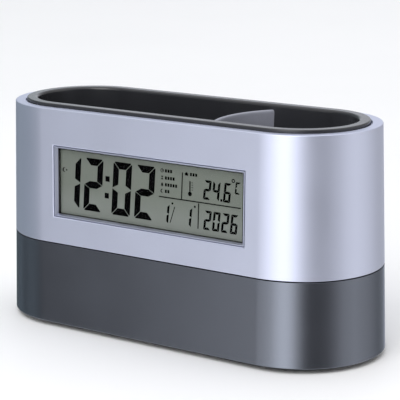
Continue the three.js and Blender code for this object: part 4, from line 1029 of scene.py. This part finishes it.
def time_figures():
    """Four large digits, their colon and a small moon with a dot."""
    found = []
    for sign, right in (("1", -33.7), ("2", -22.75), ("0", -8.9), ("2", 2.1)):
        found += digit(sign, right - TIME_DIGIT[0], 0.05, TIME_DIGIT, FIGURE_SLANT)
    found += [block(-21.2, -19.2, 2.2, 4.3), block(-21.6, -19.6, -4.4, -2.3)]
    return found + [crescent(-41.6, 4.5, 0.95), disc(-40.5, 4.5, 0.3)]


def mode_marks():
    """A clock, an hourglass, a bell and a moon, each with a row of blocks."""
    found = hoop(MODE_X, 9.55, 0.75, 0.55)
    found += [stroke((MODE_X, 9.5), (MODE_X, 10.0), HAND_WIDTH),
              stroke((5.75, 9.55), (6.15, 9.3), HAND_WIDTH)]
    found += [[(5.2, 7.5), (MODE_X, 6.85), (6.4, 7.5)], [(MODE_X, 6.8), (5.2, 6.15), (6.4, 6.15)]]
    found += [[(5.15, 3.75), (6.45, 3.75), (6.2, 4.1), (6.15, 4.6), (5.95, 4.9), (5.65, 4.9), (5.45, 4.6),
               (5.4, 4.1)], disc(MODE_X, 3.58, 0.16, DOT_STEPS)]
    found += [crescent(5.85, 1.75, 0.75)]
    for row, count in ((9.55, 3), (6.83, 4), (4.25, 5), (1.75, 2)):
        found += blocks(MODE_BLOCK_X, count, row - MODE_BLOCK_HALF, row + MODE_BLOCK_HALF)
    return found


def rules():
    """Thin lines between the fields."""
    return [stroke((14.8, -0.3), (15.15, 9.8), RULE_WIDTH), stroke((4.3, -0.55), (41.3, -0.55), RULE_WIDTH),
            stroke((22.4, -10.6), (22.6, -1.0), RULE_WIDTH)]


def room_figures():
    """A house, a thermometer, the room temperature and its unit."""
    found = [[(16.3, 8.85), (17.7, 8.85), (17.7, 9.5), (17.95, 9.5), (17.0, 10.2), (16.05, 9.5), (16.3, 9.5)]]
    found += blocks(18.6, 3, 8.9, 10.05)
    found += [disc(18.6, 2.1, 0.85), block(18.35, 18.85, 2.8, 6.9)]
    ticks = [3.6 + k * TICK_PITCH for k in range(4)]
    found += [block(19.3, 20.0, low, low + TICK_WIDTH) for low in ticks]
    for sign, left in (("2", 24.85), ("4", 28.8), ("6", 33.75)):
        found += digit(sign, left, 4.5, ROOM_DIGIT)
    found += [block(32.3, 33.15, 0.95, 1.85)]
    found += hoop(37.9, 9.25, 0.74, 0.38)
    return found + digit("C", 38.8, 6.7, UNIT_DIGIT)


def date_figures():
    """Date and a plain number in the lower row."""
    found = []
    for left in (6.1, 16.5):
        found += digit("1", left, -6.8, DATE_DIGIT)
    found += [stroke((9.6, -10.0), (11.7, -3.7), SLASH_WIDTH)]
    found += [disc(x, -2.5, 0.5, DIAMOND_STEPS) for x in (10.6, 20.9)]
    for sign, left in (("2", 25.1), ("0", 29.05), ("2", 33.0), ("6", 36.95)):
        found += digit(sign, left, -6.9, YEAR_DIGIT)
    return found


def make_figures():
    return painted_edge_shade() + time_figures() + mode_marks() + rules() + room_figures() + date_figures()


SPOT_DIGITS = 4


def raised(polygons, near, far):
    """Flat polygons in the display plane given a thickness, with walls only along their outer edges."""
    spots, faces = {}, []
    for polygon in polygons:
        keys = [(round(x, SPOT_DIGITS), round(v, SPOT_DIGITS)) for x, v in polygon]
        faces.append([spots.setdefault(key, len(spots)) for key in keys])
    count = len(spots)
    points = [FRONT @ Vector((x, depth, v)) for depth in (near, far) for x, v in spots]
    edges = {(a, b) for face in faces for a, b in zip(face, face[1:] + face[:1])}
    walls = [(a, b, b + count, a + count) for a, b in sorted(edges) if (b, a) not in edges]
    backs = [tuple(i + count for i in reversed(face)) for face in faces]
    return points, [tuple(face) for face in faces] + backs + walls


# Put the pieces in place

base_ring = make_base_ring()
add_piece("upper_shell_fine", make_upper_shell(), "case", "silver_shell", ["upper_shell"])
add_piece("base_shell_fine", make_base_shell(base_ring), "case", "charcoal_base", ["base_shell"], base_part,
          ["charcoal_cover"])
add_piece("pen_tray_fine", make_tray(), "case", "tray_black", ["pen_tray"], tray_part, ["partition_painted_reflection"])
add_piece("window_frame_fine", make_window_frame(), "case", "silver_frame", ["window_frame"], frame_part,
          ["painted_recess_shade", "sill_painted_shade"])
add_piece("window_lens_fine", make_pane(), "case", "clear_lens", ["window_lens"])
add_piece("battery_door_fine", make_door(base_ring), "door", "charcoal_door", ["battery_door"], door_part,
          ["charcoal_cover"])
for label, x in BUTTON_XS.items():
    cap = moved(make_button(), REAR @ Matrix.Translation((x, 0, 0)))
    add_piece(f"{label}_button_fine", cap, f"{label}_press_button", "button_charcoal", [f"{label}_button"])
for k, (x, y) in enumerate(SCREW_SPOTS):
    foot_x = x + math.copysign(FOOT_OFFSET[0], x)
    foot_y = y + math.copysign(FOOT_OFFSET[1], y)
    add_piece(f"rubber_foot_fine_{k + 1}", at(make_foot(), foot_x, foot_y, 0), "case", "foot_rubber",
              [f"rubber_foot_{k + 1}"])
    add_piece(f"case_screw_fine_{k + 1}", at(make_screw(), x, y, SCREW_SEAT_Z), "case", "screw_steel",
              [f"case_screw_{k + 1}"])
for number, side, z in ((1, 1, CELL_ZS[0]), (2, -1, CELL_ZS[1])):
    low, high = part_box(f"battery_{number}")
    middle_x = (low.x + high.x) / 2 / MM
    lie = Matrix.Translation((middle_x, CELL_Y, z)) @ Matrix.Rotation(math.radians(90 * side), 4, "Y")

    def cell_part(middle, normal, middle_x=middle_x, side=side):
        """Second material for the band near the tip, and a third for the metal ends."""
        along = (middle.x - middle_x) * side
        if abs(normal.x) > CELL_END_TILT or along > CELL_TIP_X:
            return 2
        return 1 if along > CELL_BAND_X else 0

    add_piece(f"battery_fine_{number}", moved(make_cell(), lie), "case", "cell_jacket", [f"battery_{number}"],
              cell_part, ["cell_band", "tinned_metal"])
    low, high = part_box(f"battery_spring_{number}")
    plate_x = (low.x if side > 0 else high.x) / MM
    coil = moved(make_spring(), Matrix.Translation((plate_x, CELL_Y, z)) @ Matrix.Scale(side, 4, (1, 0, 0)))
    add_piece(f"battery_spring_fine_{number}", coil, "case", "spring_steel", [f"battery_spring_{number}"])
# The figures carry the dark border, painted shade of the recess round the display ground
figures = add_piece("display_figures", raised(make_figures(), *FIGURE_DEPTH), "case", "panel_glass")
figures.data.materials[0] = materials["figure_ink_and_edge_shade"]


# Solids that stay as they are: smooth where they curve, and a material for each

def make_smoother():
    """Modifier tree that shades a solid smooth except along its sharp edges."""
    group = bpy.data.node_groups.new("smooth_curves", "GeometryNodeTree")
    for way in ("INPUT", "OUTPUT"):
        group.interface.new_socket("Geometry", in_out=way, socket_type="NodeSocketGeometry")
    start = group.nodes.new("NodeGroupInput")
    end = group.nodes.new("NodeGroupOutput")
    weld = group.nodes.new("GeometryNodeMergeByDistance")
    weld.inputs["Distance"].default_value = WELD * MM
    smooth = group.nodes.new("GeometryNodeSetShadeSmooth")
    sharpen = group.nodes.new("GeometryNodeSetShadeSmooth")
    sharpen.domain = "EDGE"
    sharpen.inputs["Shade Smooth"].default_value = False
    angle = group.nodes.new("GeometryNodeInputMeshEdgeAngle")
    wide = group.nodes.new("FunctionNodeCompare")
    wide.inputs["B"].default_value = math.radians(SHARP_DEG)
    group.links.new(angle.outputs["Unsigned Angle"], wide.inputs["A"])
    group.links.new(wide.outputs["Result"], sharpen.inputs["Selection"])
    for first, second in ((start, weld), (weld, smooth), (smooth, sharpen), (sharpen, end)):
        group.links.new(first.outputs["Geometry"], second.inputs["Geometry"])
    return group


smoother = make_smoother()
for entry in frame["record"]["subparts"]:
    solid = frame["nodes"][entry["node"]]
    if solid.hide_render:
        continue
    solid.data.materials.clear()
    solid.data.materials.append(materials[entry["material_slot"]])
    solid.modifiers.new("smooth_curves", "NODES").node_group = smoother


# Camera, at the photograph's viewing angle

CAMERA_AZIMUTH = math.radians(35.1096)
CAMERA_PITCH = math.radians(12.7046)
CAMERA_ROLL = math.radians(-0.3445)
CAMERA_PLACE = (0.36049, -0.50736, 0.19181)
CAMERA_SENSOR = 36.0
CAMERA_LENS = 146.389
CAMERA_NEAR = 0.01
forward = Vector((-math.sin(CAMERA_AZIMUTH) * math.cos(CAMERA_PITCH),
                  math.cos(CAMERA_AZIMUTH) * math.cos(CAMERA_PITCH), -math.sin(CAMERA_PITCH)))
level = Vector((math.cos(CAMERA_AZIMUTH), math.sin(CAMERA_AZIMUTH), 0))
upright = level.cross(forward)
right = level * math.cos(CAMERA_ROLL) + upright * math.sin(CAMERA_ROLL)
above = upright * math.cos(CAMERA_ROLL) - level * math.sin(CAMERA_ROLL)
camera = add_object("camera", bpy.data.cameras.new("camera"))
camera.data.sensor_width = CAMERA_SENSOR
camera.data.lens = CAMERA_LENS
camera.data.clip_start = CAMERA_NEAR
turn = Matrix((right, above, -forward)).transposed().to_4x4()
camera.matrix_world = Matrix.Translation(CAMERA_PLACE) @ turn
bpy.context.scene.camera = camera


# Stage and light

FLOOR_HALF = 5000.0
WALL_RADIUS = 6000.0
WALL_LOW, WALL_HIGH = -7000.0, 7000.0
WALL_STEPS = 120
WALL_FOOT = (-3600.0, -2600.0)
OPEN_SKY = (1.2, 1.2, 1.22)
FLOOR_WHITES = (0.925, 0.925, 0.93), (0.945, 0.945, 0.95)
# Brightness round the wall, in degrees from the front towards +X, and the tints of two stretches of it
WALL_STOPS = [(-180, 0.6), (-168, 0.75), (-152, 0.89), (-142, 0.89), (-132, 0.55), (-122, 0.16),
              (-98, 0.35), (-84, 0.23), (-68, 0.32), (-54, 0.26), (-42, 0.2), (-38, 0.26), (-33, 0.74),
              (-28, 1.05), (-20, 1.16), (-10, 1.42), (-2, 2.0), (6, 2.45), (12, 2.45), (18, 2.15),
              (24, 1.5), (30, 0.85), (36, 0.4), (43, 0.18), (56, 0.17), (68, 0.26), (78, 0.5), (90, 0.85),
              (108, 1.05), (136, 0.8), (160, 0.48), (180, 0.6)]
WALL_TINTS = [((-181, -137), (0.94, 0.97, 1.05)), ((-135, -50), (0.87, 1.03, 1.08))]
NO_TINT = (1.0, 1.0, 1.0)


def make_floor():
    """Wide pale floor that the gloss looks through to the studio wall."""
    corners = [Vector((x * FLOOR_HALF, y * FLOOR_HALF, 0)) for x, y in ((-1, -1), (1, -1), (1, 1), (-1, 1))]
    floor = add_object("floor", tidy_mesh("floor", (corners, [(0, 1, 2, 3)]), MM))
    material, tree, shader, place = nodes_of("pale_floor")
    cloud = noise(tree, place, 3)
    white = mixed(tree, spread(tree, cloud, 0, 1), *FLOOR_WHITES)
    coat(tree, shader, white, spread(tree, cloud, 0.55, 0.65))
    floor.data.materials.append(material)
    floor.visible_glossy = False


def make_wall():
    """Round studio wall with one bright upright strip, for the gloss and the light.

    The camera looks through it.
    """
    points = [Vector((WALL_RADIUS * math.cos(t), WALL_RADIUS * math.sin(t), z))
              for z in (WALL_LOW, WALL_HIGH) for t in full_turn(WALL_STEPS)]
    ahead = [(k + 1) % WALL_STEPS for k in range(WALL_STEPS)]
    faces = [(k, side, WALL_STEPS + side, WALL_STEPS + k) for k, side in enumerate(ahead)]
    wall = add_object("studio_wall", tidy_mesh("studio_wall", (points, faces), MM))
    material, tree, shader, place = nodes_of("studio_wall")
    split = tree.nodes.new("ShaderNodeSeparateXYZ")
    tree.links.new(place, split.inputs["Vector"])
    front = tree.nodes.new("ShaderNodeMath")
    front.operation = "MULTIPLY"
    front.inputs[1].default_value = -1
    tree.links.new(split.outputs["Y"], front.inputs[0])
    angle = tree.nodes.new("ShaderNodeMath")
    angle.operation = "ARCTAN2"
    tree.links.new(split.outputs["X"], angle.inputs[0])
    tree.links.new(front.outputs["Value"], angle.inputs[1])
    ramp = tree.nodes.new("ShaderNodeValToRGB")
    stops = ramp.color_ramp.elements
    for k, (degrees, value) in enumerate(WALL_STOPS):
        share = (degrees + 180) / 360
        stop = stops[k] if k < 2 else stops.new(share)
        stop.position = share
        tint = next((colour for (low, high), colour in WALL_TINTS if low < degrees < high), NO_TINT)
        stop.color = (*(value * part for part in tint), 1)
    tree.links.new(spread(tree, angle.outputs["Value"], 0, 1, -math.pi, math.pi), ramp.inputs["Fac"])
    lift = spread(tree, split.outputs["Z"], 0, 1, WALL_HIGH * MM / 2, WALL_HIGH * MM)
    sink = spread(tree, split.outputs["Z"], 1, 0, WALL_FOOT[0] * MM, WALL_FOOT[1] * MM)
    upper = mixed(tree, lift, ramp.outputs["Color"], OPEN_SKY)
    glow = tree.nodes.new("ShaderNodeEmission")
    tree.links.new(mixed(tree, sink, upper, OPEN_SKY), glow.inputs["Color"])
    tree.links.new(glow.outputs["Emission"], tree.nodes["Material Output"].inputs["Surface"])
    tree.nodes.remove(shader)
    wall.data.materials.append(material)
    wall.visible_camera = False


def make_world():
    """Even white light from above the studio wall."""
    world = bpy.data.worlds.new("studio")
    world.use_nodes = True
    world.node_tree.nodes["Background"].inputs["Color"].default_value = (*OPEN_SKY, 1)
    bpy.context.scene.world = world


def add_softbox(name, place, target, size, power):
    lamp = bpy.data.lights.new(name, "AREA")
    lamp.shape = "RECTANGLE"
    lamp.size, lamp.size_y = size
    lamp.energy = power
    box_light = add_object(name, lamp)
    box_light.location = place
    box_light.rotation_euler = (Vector(target) - Vector(place)).to_track_quat("-Z", "Y").to_euler()


make_floor()
make_wall()
make_world()
add_softbox("key_light", place=(0.1, -0.75, 1.0), target=(0, 0, 0.05), size=(0.7, 0.7), power=4.0)
bpy.context.scene.view_settings.view_transform = "Standard"
